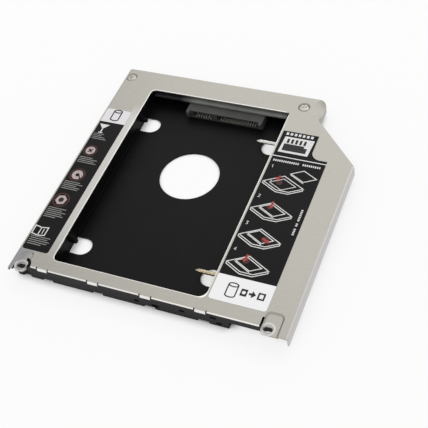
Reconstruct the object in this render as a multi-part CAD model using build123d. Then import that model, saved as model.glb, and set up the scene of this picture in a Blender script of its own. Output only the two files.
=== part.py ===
from build123d import *
import math
import os

# A second-drive caddy for a 9.5 mm slim optical bay, in millimetres.
# X is measured from the left edge, Y from the cover's front edge towards the rear and Z from
# the underside. DATUM then moves everything to the centre of the part's footprint.

# Overall envelope
WIDTH = 128.0
DEPTH = 126.1
HEIGHT = 9.5
EAR_REACH = 2.7
WAIST_SETBACK = 13.6

# Pressed aluminium cover
SHEET = 0.6
BEND = 1.3
SKIRT_DROP = 5.0
REAR_LEFT_RADIUS = 1.6
REAR_RIGHT_RADIUS = 4.0
LEAST_RADIUS = 0.3
WAIST_RADIUS = 1.5
WING_RADIUS = 2.5
EDGE_BREAK = 0.15

# How far a form runs past a surface that it cuts or joins
OVERRUN = 0.6

# Window over the drive
WINDOW_LEFT = 18.0
WINDOW_WIDTH = 71.4
WINDOW_FRONT = 6.2
WINDOW_REAR_BAND = 12.3
WINDOW_RADII = {"front_left": 2.4, "front_right": 3.8, "rear_left": 2.5, "rear_right": 0.6}

# Scooped facet pressed into the rear right edge
SCOOP_OUTSET = 2.7
SCOOP_SETBACK = 6.1
SCOOP_RADIUS = 7.8
SCOOP_SLOPE = 0.5

# Ears at the front corners
EAR_DROP = 0.8
PRESS_WALL = 0.5
RIM_ANGLE = 45
RING_X = 5.6
RING_RADIUS = 3.1
RING_GAP = 1.5
EAR_SLOT = (4.0, 2.4)
LEFT_STRIP = 2.5
LEFT_STRIP_LIP = 2.2
LEFT_SLIT_X = 6.4
LEFT_SLIT_WIDTH = 1.0
LEFT_SLIT_END = 4.3
LEFT_PAD_REAR = 7.1
LEFT_PAD_RADII = (3.0, 1.3)
RIGHT_EAR_WIDTH = 12.0
RIGHT_EAR_RADIUS = 1.6
RIGHT_SLIT_WIDTH = 0.9
RIGHT_SLIT_END = 4.5
RIGHT_PAD_EDGE = 0.6
RIGHT_PAD_WIDTH = 6.4
RIGHT_PAD_REAR = 7.0
RIGHT_PAD_RADII = (1.6, 1.6)
RIGHT_SLOT_INSET = 9.3

# Bent tabs along the front edge
TAB_FIRST = 16.0
TAB_PITCH = 24.6
TAB_COUNT = 4
TAB_WIDTH = 4.7
TAB_NOTCH = 0.6
TAB_ROOT = 0.8
TAB_BEND = 0.9
TAB_DROP = 1.4
TAB_PROUD = 0.3

# Cover screws and the dimples they sit in
RIGHT_COVER_SCREW = (5.6, 7.2)
LEFT_COVER_SCREW = (3.6, 6.3)
COVER_HEAD_RADIUS = 2.2
COVER_HEAD_HEIGHT = 0.6
COVER_HEAD_BEVEL = 0.36
COVER_CROSS = 2.7
COVER_SHANK_LENGTH = 5.0
DIMPLE_DEPTH = 0.7
DIMPLE_FLOOR_RADIUS = 2.35
DIMPLE_RIM_RADIUS = 2.9
SHANK_RADIUS = 0.95
SCREW_FIT = 0.05
CROSS_WIDTH = 0.6
CROSS_DEPTH = 0.4

# Moulded tray
TRAY_GAP = 0.1
FLOOR = 1.0
TRAY_WALL = 1.5
SIDE_BLOCK = 11.3
NECK_BESIDE_BLOCK = 3.5
RAIL_SETBACK = 0.6
EAR_SCREW_RELIEF = 0.2
CORNER_CUT = 0.5
BAY_MARGIN = 0.3
WING_WALL = 1.2
WING_FLOOR = 1.0
RIB = 1.0
SIDE_RIB_PLACES = (34.0, 60.0, 84.0)
WING_RIB_PLACES = (42.0, 62.0)
RAIL_RIB_PLACES = (28.0, 52.5, 77.0)
LEDGE_WIDTH = 1.0
LEDGE_HEIGHT = 1.2

# Rail details
RAIL_NOTCH_WIDTH = 5.2
RAIL_NOTCH_HEIGHT = 1.3
RAIL_NOTCH_DEPTH = 1.0
RAIL_POCKETS = ((41.3, 3.3, 2.2, 1.5), (32.7, 2.7, 3.4, 1.9), (20.4, 4.2, 2.6, 1.4), (6.5, 5.2, 2.8, 1.4),
                (4.2, 1.9, 2.6, 1.4))
RAIL_POCKET_DEPTH = 0.9

# Rows of side holes of the 2.5 inch drive that the bay takes
DRIVE_SIDE_HOLE_HEIGHT = 3.0
FRONT_ROW_SETBACK = 15.5
REAR_ROW_TO_CONNECTOR = 9.6

# Floor openings
CENTRE_HOLE_RADIUS = 14.2
CENTRE_HOLE_OFFSET = 12.2
D_HOLE_RADIUS = 4.7
D_HOLE_STRAIGHT = 4.8

# Fixed pegs and moving retaining screws
PEG_RADIUS = 1.2
PEG_LENGTH = 3.3
PEG_CHAMFER = 0.4
PIN_RADIUS = 1.0
PIN_REACH = 11.4
PIN_CONE = 1.6
PIN_TIP_RADIUS = 0.25
PIN_FIT = 0.05
PIN_HOLE_CLEARANCE = 0.3
PIN_HEAD_RADIUS = 1.8
PIN_HEAD_HEIGHT = 1.4
PIN_CROSS = 2.2
BOSS_HALF_WIDTH = 3.2
BOSS_BELOW_TOP = 1.4
NUT_SIDE = 4.0
NUT_THICKNESS = 1.2
NUT_INSET = 6.8
NUT_CLEARANCE = 0.05
DRIVER_CHANNEL_RADIUS = 2.3
CHANNEL_HOOD = 1.0

# Adapter board
BOARD_MARGIN = 1.2
BOARD_SETBACK = 13.7
BOARD_LENGTH = 11.0
BOARD_THICKNESS = 1.0
BOARD_HEADROOM = 1.6
LEFT_BOARD_SCREW = (4.8, 6.1)
RIGHT_BOARD_SCREW = (20.0, 8.0)
POST_RADIUS = 2.3
BOARD_HEAD_RADIUS = 1.8
BOARD_HEAD_HEIGHT = 1.1
BOARD_SHANK_LENGTH = 4.0

# Receptacle that the drive plugs into
CONTACT_PITCH = 1.27
CONTACT_WIDTH = 0.5
CONTACT_THICKNESS = 0.25
CONTACT_CLEARANCE = 0.05
CONNECTOR_BOTTOM = 1.4
CONNECTOR_GAP = 0.2
DRIVE_CONNECTOR_OFFSET = 4.3
DRIVE_CONNECTOR_END = 2.8
DRIVE_CONNECTOR_SETBACK = 18.5
DRIVE_CONNECTOR_LENGTH = 7.7
TONGUE_SPARE = 2.8
TONGUE_GAP = 2.4
MOUTH_BOTTOM = 2.1
MOUTH_ROOF = 0.7
MOUTH_DEPTH = 5.5
DATA_COUNT = 7
POWER_COUNT = 15
FRONT_LIP = 0.4
HORN_WIDTH = 1.7
HORN_REACH = 1.8
HORN_HEIGHT = 3.4
HORN_CHAMFER = 0.6
TAIL_GAP = 0.15

# Plug at the rear that meets the computer
HOST_INSET = 13.4
HOST_LENGTH = 7.7
HOST_MOUTH_SPARE = 2.0
HOST_END_WALL = 1.2
HOST_SHELL = 0.7
HOST_MOUTH_DEPTH = 5.2
HOST_TONGUE_THICKNESS = 1.1
HOST_TONGUE_LENGTH = 4.4
HOST_TONGUE_SPARE = 1.9
HOST_TONGUE_GAP = 1.2
HOST_DATA_COUNT = 7
HOST_POWER_COUNT = 6
HOST_POWER_PITCH = 1.0
HOST_CONTACT_THICKNESS = 0.15
HOST_WINDOW_MARGIN = 0.6

# Hold-down clips of both connectors
CLIP_THICKNESS = 0.3
CLIP_LENGTH = 2.2
CLIP_HEIGHT = 3.2

# Small parts on top of the board
CAPACITOR = (1.6, 0.8, 0.8)
DRIVE_SIDE_CAPACITORS = ((-24.0, 4.6), (-20.0, 4.6))
HOST_SIDE_CAPACITORS = ((-10.0, 4.2), (-6.0, 4.2))
RESISTOR = (1.0, 0.5, 0.35)
DRIVE_SIDE_RESISTORS = ((-15.0, 4.6), (-12.5, 4.6))
HOST_SIDE_RESISTORS = ((-2.0, 4.2),)

# Printed labels
LABEL_THICKNESS = 0.1
LABEL_RADIUS = 1.2
LEFT_LABEL_INSET = 1.4
LEFT_LABEL_FRONT = 8.3
LEFT_LABEL_WIDTH = 13.0
LEFT_LABEL_SETBACK = 29.6
RIGHT_LABEL_GAP = 1.2
RIGHT_LABEL_SHARE = 0.68
RIGHT_LABEL_FRONT = 6.7
RIGHT_LABEL_HEAD_SHARE = 0.47
RIGHT_LABEL_SHOULDER_SETBACK = 37.8
RIGHT_LABEL_FLARE_SHARE = 0.55
RIGHT_LABEL_SETBACK = 23.8

# Sizes that follow from those above
SKIRT_BOTTOM = HEIGHT - SKIRT_DROP
TRAY_TOP = HEIGHT - SHEET
BOARD_TOP = TRAY_TOP - BOARD_HEADROOM
BOARD_UNDERSIDE = BOARD_TOP - BOARD_THICKNESS
CONNECTOR_TOP = BOARD_UNDERSIDE - CONNECTOR_GAP
MOUTH_HEIGHT = CONNECTOR_TOP - MOUTH_ROOF - MOUTH_BOTTOM
HOST_MOUTH_HEIGHT = CONNECTOR_TOP - CONNECTOR_BOTTOM - 2 * HOST_SHELL
TRAY_INSET = SHEET + TRAY_GAP
TRAY_REAR = DEPTH - TRAY_INSET
EDGE_CHAMFER = BEND - SHEET
WINDOW_RIGHT = WINDOW_LEFT + WINDOW_WIDTH
WINDOW_REAR = DEPTH - WINDOW_REAR_BAND
WINDOW_X = (WINDOW_LEFT + WINDOW_RIGHT) / 2
BAY_LEFT = WINDOW_LEFT - BAY_MARGIN
BAY_RIGHT = WINDOW_RIGHT + BAY_MARGIN
BAY_FRONT = WINDOW_FRONT - BAY_MARGIN
BODY_RIGHT = BAY_RIGHT + SIDE_BLOCK
NECK_WIDTH = BODY_RIGHT + NECK_BESIDE_BLOCK
WAIST_Y = DEPTH - WAIST_SETBACK
SCOOP_PLACE = (NECK_WIDTH + SCOOP_OUTSET, DEPTH - SCOOP_SETBACK)
RIGHT_EAR_X = WIDTH - RIGHT_EAR_WIDTH
RIM_SPREAD = EAR_DROP * math.tan(math.radians(RIM_ANGLE))
LEFT_PAD_X = (RING_X - RING_RADIUS + RIM_SPREAD, RING_X + RING_RADIUS - RIM_SPREAD)
RIGHT_PAD_X = (RIGHT_EAR_X + RIGHT_PAD_EDGE, RIGHT_EAR_X + RIGHT_PAD_EDGE + RIGHT_PAD_WIDTH)
RIGHT_SLOT_X = WIDTH - RIGHT_SLOT_INSET
TAB_CENTRES = [TAB_FIRST + index * TAB_PITCH for index in range(TAB_COUNT)]
COVER_SCREW_PLACES = ((WINDOW_RIGHT + RIGHT_COVER_SCREW[0], DEPTH - RIGHT_COVER_SCREW[1]),
                      (LEFT_COVER_SCREW[0], DEPTH - LEFT_COVER_SCREW[1]))
CENTRE_HOLE_Y = (WINDOW_FRONT + WINDOW_REAR) / 2 + CENTRE_HOLE_OFFSET
DRIVE_CONNECTOR_X = WINDOW_X + DRIVE_CONNECTOR_OFFSET
DRIVE_CONNECTOR_FRONT = DEPTH - DRIVE_CONNECTOR_SETBACK
DRIVE_CONNECTOR_REAR = DRIVE_CONNECTOR_FRONT + DRIVE_CONNECTOR_LENGTH
DATA_TONGUE = (DATA_COUNT - 1) * CONTACT_PITCH + TONGUE_SPARE
POWER_TONGUE = (POWER_COUNT - 1) * CONTACT_PITCH + TONGUE_SPARE
TONGUE_SPAN = DATA_TONGUE + TONGUE_GAP + POWER_TONGUE
DRIVE_CONNECTOR_WIDTH = TONGUE_SPAN + 2 * DRIVE_CONNECTOR_END
DATA_X = DRIVE_CONNECTOR_X - TONGUE_SPAN / 2 + DATA_TONGUE / 2
POWER_X = DRIVE_CONNECTOR_X + TONGUE_SPAN / 2 - POWER_TONGUE / 2
PIN_HEIGHT = FLOOR + DRIVE_SIDE_HOLE_HEIGHT
HOLE_ROWS = (BAY_FRONT + FRONT_ROW_SETBACK, DRIVE_CONNECTOR_FRONT - REAR_ROW_TO_CONNECTOR)
PIN_TIP_X = BAY_RIGHT - PIN_REACH
NUT_X = BODY_RIGHT - NUT_INSET
HOST_X = WINDOW_RIGHT - HOST_INSET
HOST_FRONT = DEPTH - HOST_LENGTH
HOST_DATA_WIDTH = (HOST_DATA_COUNT - 1) * CONTACT_PITCH + HOST_TONGUE_SPARE
HOST_POWER_WIDTH = (HOST_POWER_COUNT - 1) * HOST_POWER_PITCH + HOST_TONGUE_SPARE
HOST_SPAN = HOST_DATA_WIDTH + HOST_TONGUE_GAP + HOST_POWER_WIDTH
HOST_MOUTH_WIDTH = HOST_SPAN + HOST_MOUTH_SPARE
HOST_WIDTH = HOST_MOUTH_WIDTH + 2 * HOST_END_WALL
HOST_DATA_X = HOST_X - HOST_SPAN / 2 + HOST_DATA_WIDTH / 2
HOST_POWER_X = HOST_X + HOST_SPAN / 2 - HOST_POWER_WIDTH / 2
HOST_MOUTH_Z = (CONNECTOR_BOTTOM + CONNECTOR_TOP) / 2
BOARD_LEFT = WINDOW_LEFT + BOARD_MARGIN
BOARD_WIDTH = WINDOW_WIDTH - 2 * BOARD_MARGIN
BOARD_FRONT = DEPTH - BOARD_SETBACK
BOARD_SCREW_PLACES = ((BOARD_LEFT + LEFT_BOARD_SCREW[0], BOARD_FRONT + LEFT_BOARD_SCREW[1]),
                      (HOST_X - RIGHT_BOARD_SCREW[0], BOARD_FRONT + RIGHT_BOARD_SCREW[1]))
RIGHT_LABEL_LEFT = WINDOW_RIGHT + RIGHT_LABEL_GAP
RIGHT_LABEL_RIGHT = WINDOW_RIGHT + RIGHT_LABEL_SHARE * (WIDTH - WINDOW_RIGHT)
RIGHT_LABEL_NECK_X = WINDOW_RIGHT + RIGHT_LABEL_HEAD_SHARE * (WIDTH - WINDOW_RIGHT)
RIGHT_LABEL_FLARE = RIGHT_LABEL_FLARE_SHARE * (RIGHT_LABEL_RIGHT - RIGHT_LABEL_NECK_X)
RIGHT_LABEL_SHOULDER = DEPTH - RIGHT_LABEL_SHOULDER_SETBACK
RIGHT_LABEL_REAR = DEPTH - RIGHT_LABEL_SETBACK
DATUM = Pos(-WIDTH / 2, -(DEPTH - EAR_REACH) / 2, 0)
MINIMUM = (Align.MIN, Align.MIN, Align.MIN)


def block(x_range, y_range, z_range):
    """Box between the two ends of each range."""
    sizes = [high - low for low, high in (x_range, y_range, z_range)]
    return Pos(x_range[0], y_range[0], z_range[0]) * Box(*sizes, align=MINIMUM)


def rod(radius, x, y, z_range):
    """Upright cylinder between two heights."""
    low, high = z_range
    return Pos(x, y, low) * Cylinder(radius, high - low, align=(Align.CENTER, Align.CENTER, Align.MIN))


def rod_along_x(radius, x_range, y, z):
    """Cylinder lying along X."""
    low, high = x_range
    turned = Rot(0, 90, 0) * Cylinder(radius, high - low, align=(Align.CENTER, Align.CENTER, Align.MIN))
    return Pos(low, y, z) * turned


def round_corner(plan, x, y, radius):
    """Round the corner of a plan that lies nearest to a point."""
    corner = plan.vertices().sort_by_distance((x, y, 0))[0]
    return fillet(corner, radius)


def cover_plan(inset, front):
    """Plan of the cover, drawn in at the sides and the rear, from y = front."""
    shoulder = NECK_WIDTH + WAIST_Y - inset * math.sqrt(2)
    left, rear = inset, DEPTH - inset
    neck, wing = NECK_WIDTH - inset, WIDTH - inset
    corners = [(left, front), (left, rear), (neck, rear), (neck, shoulder - neck),
               (wing, shoulder - wing), (wing, front)]
    plan = make_face(Polyline(*corners, close=True))
    plan = round_corner(plan, left, rear, max(REAR_LEFT_RADIUS - inset, LEAST_RADIUS))
    plan = round_corner(plan, neck, rear, REAR_RIGHT_RADIUS - inset)
    plan = round_corner(plan, neck, shoulder - neck, WAIST_RADIUS + inset)
    return round_corner(plan, wing, shoulder - wing, WING_RADIUS - inset)


def top_edges_behind(solid, front):
    """Edges of the top face, apart from the one along the front."""
    top = solid.edges().group_by(Axis.Z)[-1]
    return top.filter_by(lambda edge: edge.center().Y > front + OVERRUN)


def cover_envelope():
    """Outer form of the pressed cover, with its rounded bend."""
    front = -EAR_REACH
    form = Pos(0, 0, SKIRT_BOTTOM) * extrude(cover_plan(0, front), SKIRT_DROP)
    return fillet(top_edges_behind(form, front), BEND)


def cover_hollow():
    """Space under the sheet, open at the front."""
    front = -EAR_REACH - OVERRUN
    form = Pos(0, 0, SKIRT_BOTTOM - SHEET) * extrude(cover_plan(SHEET, front), SKIRT_DROP)
    return fillet(top_edges_behind(form, front), BEND - SHEET)


def ear_press(pad_x, pad_rear, radii, lower, grow):
    """Space above a sunk ear with its sloping rims, lowered and widened."""
    front, rear = -EAR_REACH - OVERRUN, pad_rear + grow
    left, right = pad_x[0] - grow, pad_x[1] + grow
    plan = make_face(Polyline((left, front), (left, rear), (right, rear), (right, front), close=True))
    plan = round_corner(plan, left, rear, radii[0])
    plan = round_corner(plan, right, rear, radii[1])
    slopes = Pos(0, 0, HEIGHT - EAR_DROP - lower) * extrude(plan, EAR_DROP, taper=-RIM_ANGLE)
    return slopes + Pos(0, 0, HEIGHT - lower) * extrude(offset(plan, RIM_SPREAD), lower + OVERRUN)


def ear_presses(lower, grow):
    """Spaces above both ears."""
    return [ear_press(LEFT_PAD_X, LEFT_PAD_REAR, LEFT_PAD_RADII, lower, grow),
            ear_press(RIGHT_PAD_X, RIGHT_PAD_REAR, RIGHT_PAD_RADII, lower, grow)]


def scoop_press(lower):
    """Cone whose lower side makes the scooped facet at the rear right."""
    depth = SCOOP_RADIUS * SCOOP_SLOPE
    cone = Cone(0, SCOOP_RADIUS, depth, align=(Align.CENTER, Align.CENTER, Align.MAX))
    rim = HEIGHT - lower
    x, y = SCOOP_PLACE
    return Pos(x, y, rim) * cone + rod(SCOOP_RADIUS, x, y, (rim, HEIGHT + OVERRUN))


def dimple_press(x, y, lower, grow):
    """Round dimple for a screw head, lowered and widened."""
    cone = Cone(DIMPLE_FLOOR_RADIUS + grow, DIMPLE_RIM_RADIUS + grow, DIMPLE_DEPTH,
                align=(Align.CENTER, Align.CENTER, Align.MAX))
    rim = HEIGHT - lower
    return Pos(x, y, rim) * cone + rod(DIMPLE_RIM_RADIUS + grow, x, y, (rim, HEIGHT + OVERRUN))


def ear_slots(z_range, grow=0):
    """Upright slots with round ends through both ears, long in X."""
    low, high = z_range
    length, width = EAR_SLOT
    slot = extrude(SlotOverall(length + 2 * grow, width + 2 * grow), high - low)
    return Pos(RING_X, 0, low) * slot + Pos(RIGHT_SLOT_X, 0, low) * slot


def ear_openings():
    """Everything cut right through around the two ears."""
    z_range = (SKIRT_BOTTOM - OVERRUN, HEIGHT + OVERRUN)
    front = -EAR_REACH - OVERRUN
    gap_edge = RING_X + RING_RADIUS + RING_GAP
    ring = rod(RING_RADIUS, RING_X, 0, z_range)
    apron = block((LEFT_STRIP, LEFT_SLIT_X), (0, LEFT_SLIT_END + OVERRUN), z_range)
    around = block((LEFT_STRIP, gap_edge), (front, 0), z_range)
    around += rod(RING_RADIUS + RING_GAP, RING_X, 0, z_range)
    around += block((LEFT_SLIT_X, LEFT_SLIT_X + LEFT_SLIT_WIDTH), (0, LEFT_SLIT_END), z_range)
    around -= block((0, LEFT_STRIP), (front, DEPTH), z_range)
    left = around - ring - apron
    middle = block((gap_edge - OVERRUN, RIGHT_EAR_X), (front, 0), z_range)
    right = block((RIGHT_EAR_X - RIGHT_SLIT_WIDTH, RIGHT_EAR_X), (-OVERRUN, RIGHT_SLIT_END), z_range)
    corner = RIGHT_EAR_RADIUS - EAR_REACH
    right += block((RIGHT_EAR_X - OVERRUN, RIGHT_EAR_X + RIGHT_EAR_RADIUS), (front, corner), z_range)
    right -= rod(RIGHT_EAR_RADIUS, RIGHT_EAR_X + RIGHT_EAR_RADIUS, corner, z_range)
    lip = (SKIRT_BOTTOM - OVERRUN, HEIGHT - LEFT_STRIP_LIP)
    return left + middle + right + ear_slots(z_range) + block((-OVERRUN, LEFT_STRIP), (front, 0), lip)


def front_tab(x):
    """One tab, bent down in front of the rail."""
    face = -TAB_PROUD
    centre_y, centre_z = face + TAB_BEND, HEIGHT - TAB_BEND
    inner = TAB_BEND - SHEET
    foot = HEIGHT - TAB_DROP
    diagonal = math.sqrt(0.5)
    outline = Line((TAB_ROOT, HEIGHT), (centre_y, HEIGHT))
    outer_mid = (centre_y - TAB_BEND * diagonal, centre_z + TAB_BEND * diagonal)
    inner_mid = (centre_y - inner * diagonal, centre_z + inner * diagonal)
    outline += ThreePointArc((centre_y, HEIGHT), outer_mid, (face, centre_z))
    outline += Polyline((face, centre_z), (face, foot), (face + SHEET, foot), (face + SHEET, centre_z))
    outline += ThreePointArc((face + SHEET, centre_z), inner_mid, (centre_y, HEIGHT - SHEET))
    outline += Polyline((centre_y, HEIGHT - SHEET), (TAB_ROOT, HEIGHT - SHEET), (TAB_ROOT, HEIGHT))
    profile = Plane.YZ * make_face(outline)
    return Pos(x - TAB_WIDTH / 2, 0, 0) * extrude(profile, TAB_WIDTH)


def window_cut():
    """The rectangular opening over the drive, each corner with its own radius."""
    corners = {
        "front_left": (WINDOW_LEFT, WINDOW_FRONT),
        "rear_left": (WINDOW_LEFT, WINDOW_REAR),
        "rear_right": (WINDOW_RIGHT, WINDOW_REAR),
        "front_right": (WINDOW_RIGHT, WINDOW_FRONT),
    }
    plan = make_face(Polyline(*corners.values(), close=True))
    for corner, (x, y) in corners.items():
        plan = round_corner(plan, x, y, WINDOW_RADII[corner])
    return Pos(0, 0, TRAY_TOP - OVERRUN) * extrude(plan, SHEET + 2 * OVERRUN)


def host_window(z_range):
    """Gap left at the rear for the plug that meets the computer."""
    half = HOST_WIDTH / 2 + CLIP_THICKNESS + HOST_WINDOW_MARGIN
    y_range = (TRAY_REAR - TRAY_WALL - OVERRUN, DEPTH + OVERRUN)
    return block((HOST_X - half, HOST_X + half), y_range, z_range)


def press(cover, envelope, tool, lowered_tool):
    """Push the sheet down to a tool's surface and keep its thickness."""
    return cover + (lowered_tool & envelope) - tool


def top_cover():
    """Pressed aluminium cover: sheet, skirt, window, ears, facet, dimples and tabs."""
    envelope = cover_envelope()
    cover = envelope - cover_hollow()
    scoop_lower = SHEET * math.hypot(1, SCOOP_SLOPE)
    cover = press(cover, envelope, scoop_press(0), scoop_press(scoop_lower))
    for tool, lowered_tool in zip(ear_presses(0, 0), ear_presses(SHEET, PRESS_WALL)):
        cover = press(cover, envelope, tool, lowered_tool)
    for x, y in COVER_SCREW_PLACES:
        cover = press(cover, envelope, dimple_press(x, y, 0, 0), dimple_press(x, y, SHEET, PRESS_WALL))
        cover -= rod(SHANK_RADIUS + SCREW_FIT, x, y, (SKIRT_BOTTOM, HEIGHT + OVERRUN))
    cover -= ear_openings()
    cover -= window_cut()
    cover -= host_window((SKIRT_BOTTOM - OVERRUN, CONNECTOR_TOP + HOST_WINDOW_MARGIN))
    for x in TAB_CENTRES:
        half = TAB_WIDTH / 2 + TAB_NOTCH
        cover -= block((x - half, x + half), (-OVERRUN, TAB_ROOT), (TRAY_TOP - OVERRUN, HEIGHT + OVERRUN))
        cover += front_tab(x)
    return break_window_edge(cover)


def break_window_edge(cover):
    """Soften the window's upper edge so that it catches the light."""

    def on_window(edge):
        point = edge.center()
        inside_x = WINDOW_LEFT - OVERRUN < point.X < WINDOW_RIGHT + OVERRUN
        inside_y = WINDOW_FRONT - OVERRUN < point.Y < WINDOW_REAR + OVERRUN
        return point.Z > HEIGHT - SHEET / 2 and inside_x and inside_y

    return chamfer(cover.edges().filter_by(on_window), EDGE_BREAK)


def d_hole(y, side):
    """D-shaped floor opening at a bay wall; side is 1 at the left wall and -1 at the right."""
    wall = BAY_LEFT if side > 0 else BAY_RIGHT
    centre = wall + side * D_HOLE_STRAIGHT
    z_range = (-OVERRUN, FLOOR + LEDGE_HEIGHT + OVERRUN)
    straight = block(sorted((wall, centre)), (y - D_HOLE_RADIUS, y + D_HOLE_RADIUS), z_range)
    return straight + rod(D_HOLE_RADIUS, centre, y, z_range)


def tray_body():
    """Full-height body and the thinner wing beside it, before any hollow."""
    body = block((TRAY_INSET, BODY_RIGHT), (RAIL_SETBACK, TRAY_REAR), (0, TRAY_TOP))
    corner = make_face(Polyline((TRAY_INSET, RAIL_SETBACK), (TRAY_INSET + CORNER_CUT, RAIL_SETBACK),
                                (TRAY_INSET, RAIL_SETBACK + CORNER_CUT), close=True))
    body -= extrude(corner, HEIGHT)
    plan = cover_plan(TRAY_INSET, RAIL_SETBACK)
    envelope = extrude(plan, TRAY_TOP)
    envelope = chamfer(envelope.edges().group_by(Axis.Z)[-1], EDGE_CHAMFER)
    wing = envelope & block((BODY_RIGHT - TRAY_WALL, WIDTH), (0, DEPTH), (SKIRT_BOTTOM, HEIGHT))
    return (body & envelope) + wing


def side_pockets():
    """Hollows of the two side blocks, the rail and the wing, with their ribs left standing."""
    top = TRAY_TOP + OVERRUN
    y_range = (BAY_FRONT + TRAY_WALL, BOARD_FRONT)
    left = block((TRAY_INSET + TRAY_WALL, BAY_LEFT - TRAY_WALL), y_range, (FLOOR, top))
    right = block((BAY_RIGHT + TRAY_WALL, BODY_RIGHT - TRAY_WALL), y_range, (FLOOR, top))
    ribs = [block((0, BODY_RIGHT), (y, y + RIB), (0, HEIGHT)) for y in SIDE_RIB_PLACES]
    rail_y = (RAIL_SETBACK + TRAY_WALL, BAY_FRONT - TRAY_WALL)
    rail = block((BAY_LEFT, BODY_RIGHT - TRAY_WALL), rail_y, (FLOOR, top))
    rail_ribs = [block((x, x + RIB), (0, BAY_FRONT), (0, HEIGHT)) for x in RAIL_RIB_PLACES]
    return (left + right) - ribs + (rail - rail_ribs)


def wing_pocket():
    """Hollow of the wing, with its ribs and the hoods over the driver channels left standing."""
    inset = TRAY_INSET + WING_WALL
    floor = SKIRT_BOTTOM + WING_FLOOR
    pocket = Pos(0, 0, floor) * extrude(cover_plan(inset, RAIL_SETBACK + WING_WALL), SKIRT_DROP)
    pocket &= block((BODY_RIGHT, WIDTH), (0, WAIST_Y - inset), (0, HEIGHT + OVERRUN))
    for y in WING_RIB_PLACES:
        pocket -= block((BODY_RIGHT, WIDTH), (y, y + RIB), (0, HEIGHT))
    reach = DRIVER_CHANNEL_RADIUS + CHANNEL_HOOD
    for y in HOLE_ROWS:
        pocket -= block((BODY_RIGHT, WIDTH), (y - reach, y + reach), (0, PIN_HEIGHT + reach))
    return pocket


def pin_boss(y):
    """Block across the right side block that guides a retaining screw and traps its nut."""
    boss = block((BAY_RIGHT, BODY_RIGHT), (y - BOSS_HALF_WIDTH, y + BOSS_HALF_WIDTH),
                 (0, TRAY_TOP - BOSS_BELOW_TOP))
    half = NUT_SIDE / 2 + NUT_CLEARANCE
    slot = block((NUT_X - NUT_CLEARANCE, NUT_X + NUT_THICKNESS + NUT_CLEARANCE), (y - half, y + half),
                 (PIN_HEIGHT - NUT_SIDE / 2, HEIGHT))
    return boss - slot


def dimple_seat(x, y):
    """Plain round recess that clears a dimple's underside."""
    floor = TRAY_TOP - DIMPLE_DEPTH - TRAY_GAP
    return rod(DIMPLE_RIM_RADIUS + PRESS_WALL + TRAY_GAP, x, y, (floor, HEIGHT))


def peg(y):
    """Fixed peg on the left wall that enters a side hole of the drive."""
    shaft = rod_along_x(PEG_RADIUS, (BAY_LEFT - OVERRUN, BAY_LEFT + PEG_LENGTH), y, PIN_HEIGHT)
    tip = shaft.edges().sort_by(Axis.X)[-1]
    return chamfer(tip, PEG_CHAMFER)


def screw_post(x, y, top):
    """Round post with a pilot hole, standing on the floor."""
    return rod(POST_RADIUS, x, y, (0, top))


def rail_cuts():
    """Notches along the rail's lower edge, pockets in its face and room behind the ears' slots."""
    reach = (0, RAIL_SETBACK + RAIL_NOTCH_DEPTH)
    cuts = [block((x - RAIL_NOTCH_WIDTH / 2, x + RAIL_NOTCH_WIDTH / 2), reach, (-OVERRUN, RAIL_NOTCH_HEIGHT))
            for x in TAB_CENTRES]
    pocket_y = (0, RAIL_SETBACK + RAIL_POCKET_DEPTH)
    for inset, z, width, height in RAIL_POCKETS:
        x = BODY_RIGHT - inset
        cuts.append(block((x - width / 2, x + width / 2), pocket_y, (z - height / 2, z + height / 2)))
    return cuts + [ear_slots((-OVERRUN, HEIGHT), EAR_SCREW_RELIEF)]


def base_tray():
    """Moulded tray: floor, side blocks, rail, wing, pegs, bosses and posts."""
    tray = tray_body() - side_pockets() - wing_pocket()
    tray -= block((BAY_LEFT, BAY_RIGHT), (BAY_FRONT, TRAY_REAR - TRAY_WALL), (FLOOR, HEIGHT))
    tray += block((BAY_LEFT, BAY_LEFT + LEDGE_WIDTH), (BAY_FRONT, BOARD_FRONT), (FLOOR, FLOOR + LEDGE_HEIGHT))
    tray -= rod(CENTRE_HOLE_RADIUS, WINDOW_X, CENTRE_HOLE_Y, (-OVERRUN, FLOOR + OVERRUN))
    guide = (BAY_RIGHT - OVERRUN, BODY_RIGHT + OVERRUN)
    for y in HOLE_ROWS:
        tray += pin_boss(y)
        tray -= [d_hole(y, 1), d_hole(y, -1)]
        tray += peg(y)
        tray -= rod_along_x(PIN_RADIUS + PIN_HOLE_CLEARANCE, guide, y, PIN_HEIGHT)
        tray -= rod_along_x(DRIVER_CHANNEL_RADIUS, (BODY_RIGHT, WIDTH), y, PIN_HEIGHT)
    for x, y in BOARD_SCREW_PLACES:
        tray += screw_post(x, y, BOARD_UNDERSIDE)
        tray -= rod(SHANK_RADIUS + SCREW_FIT, x, y, (FLOOR, HEIGHT))
    for x, y in COVER_SCREW_PLACES:
        tray += screw_post(x, y, TRAY_TOP) & tray_body()
        tray -= dimple_seat(x, y)
        tray -= rod(SHANK_RADIUS + SCREW_FIT, x, y, (FLOOR, HEIGHT))
    tray -= ear_presses(SHEET + TRAY_GAP, PRESS_WALL + TRAY_GAP)
    tray -= scoop_press(SHEET * math.hypot(1, SCOOP_SLOPE) + TRAY_GAP)
    tray -= host_window((FLOOR, HEIGHT))
    return tray - rail_cuts()


def cross_recess(length, z):
    """Cross-shaped driver recess sunk below a height."""
    bar = Box(length, CROSS_WIDTH, CROSS_DEPTH, align=(Align.CENTER, Align.CENTER, Align.MAX))
    return Pos(0, 0, z) * (bar + Rot(0, 0, 90) * bar)


def screw(head_radius, head_height, shank_length, cross):
    """Screw standing at the origin, its head's underside at z = 0."""
    body = rod(head_radius, 0, 0, (0, head_height)) + rod(SHANK_RADIUS, 0, 0, (-shank_length, 0))
    return body - cross_recess(cross, head_height)


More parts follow.
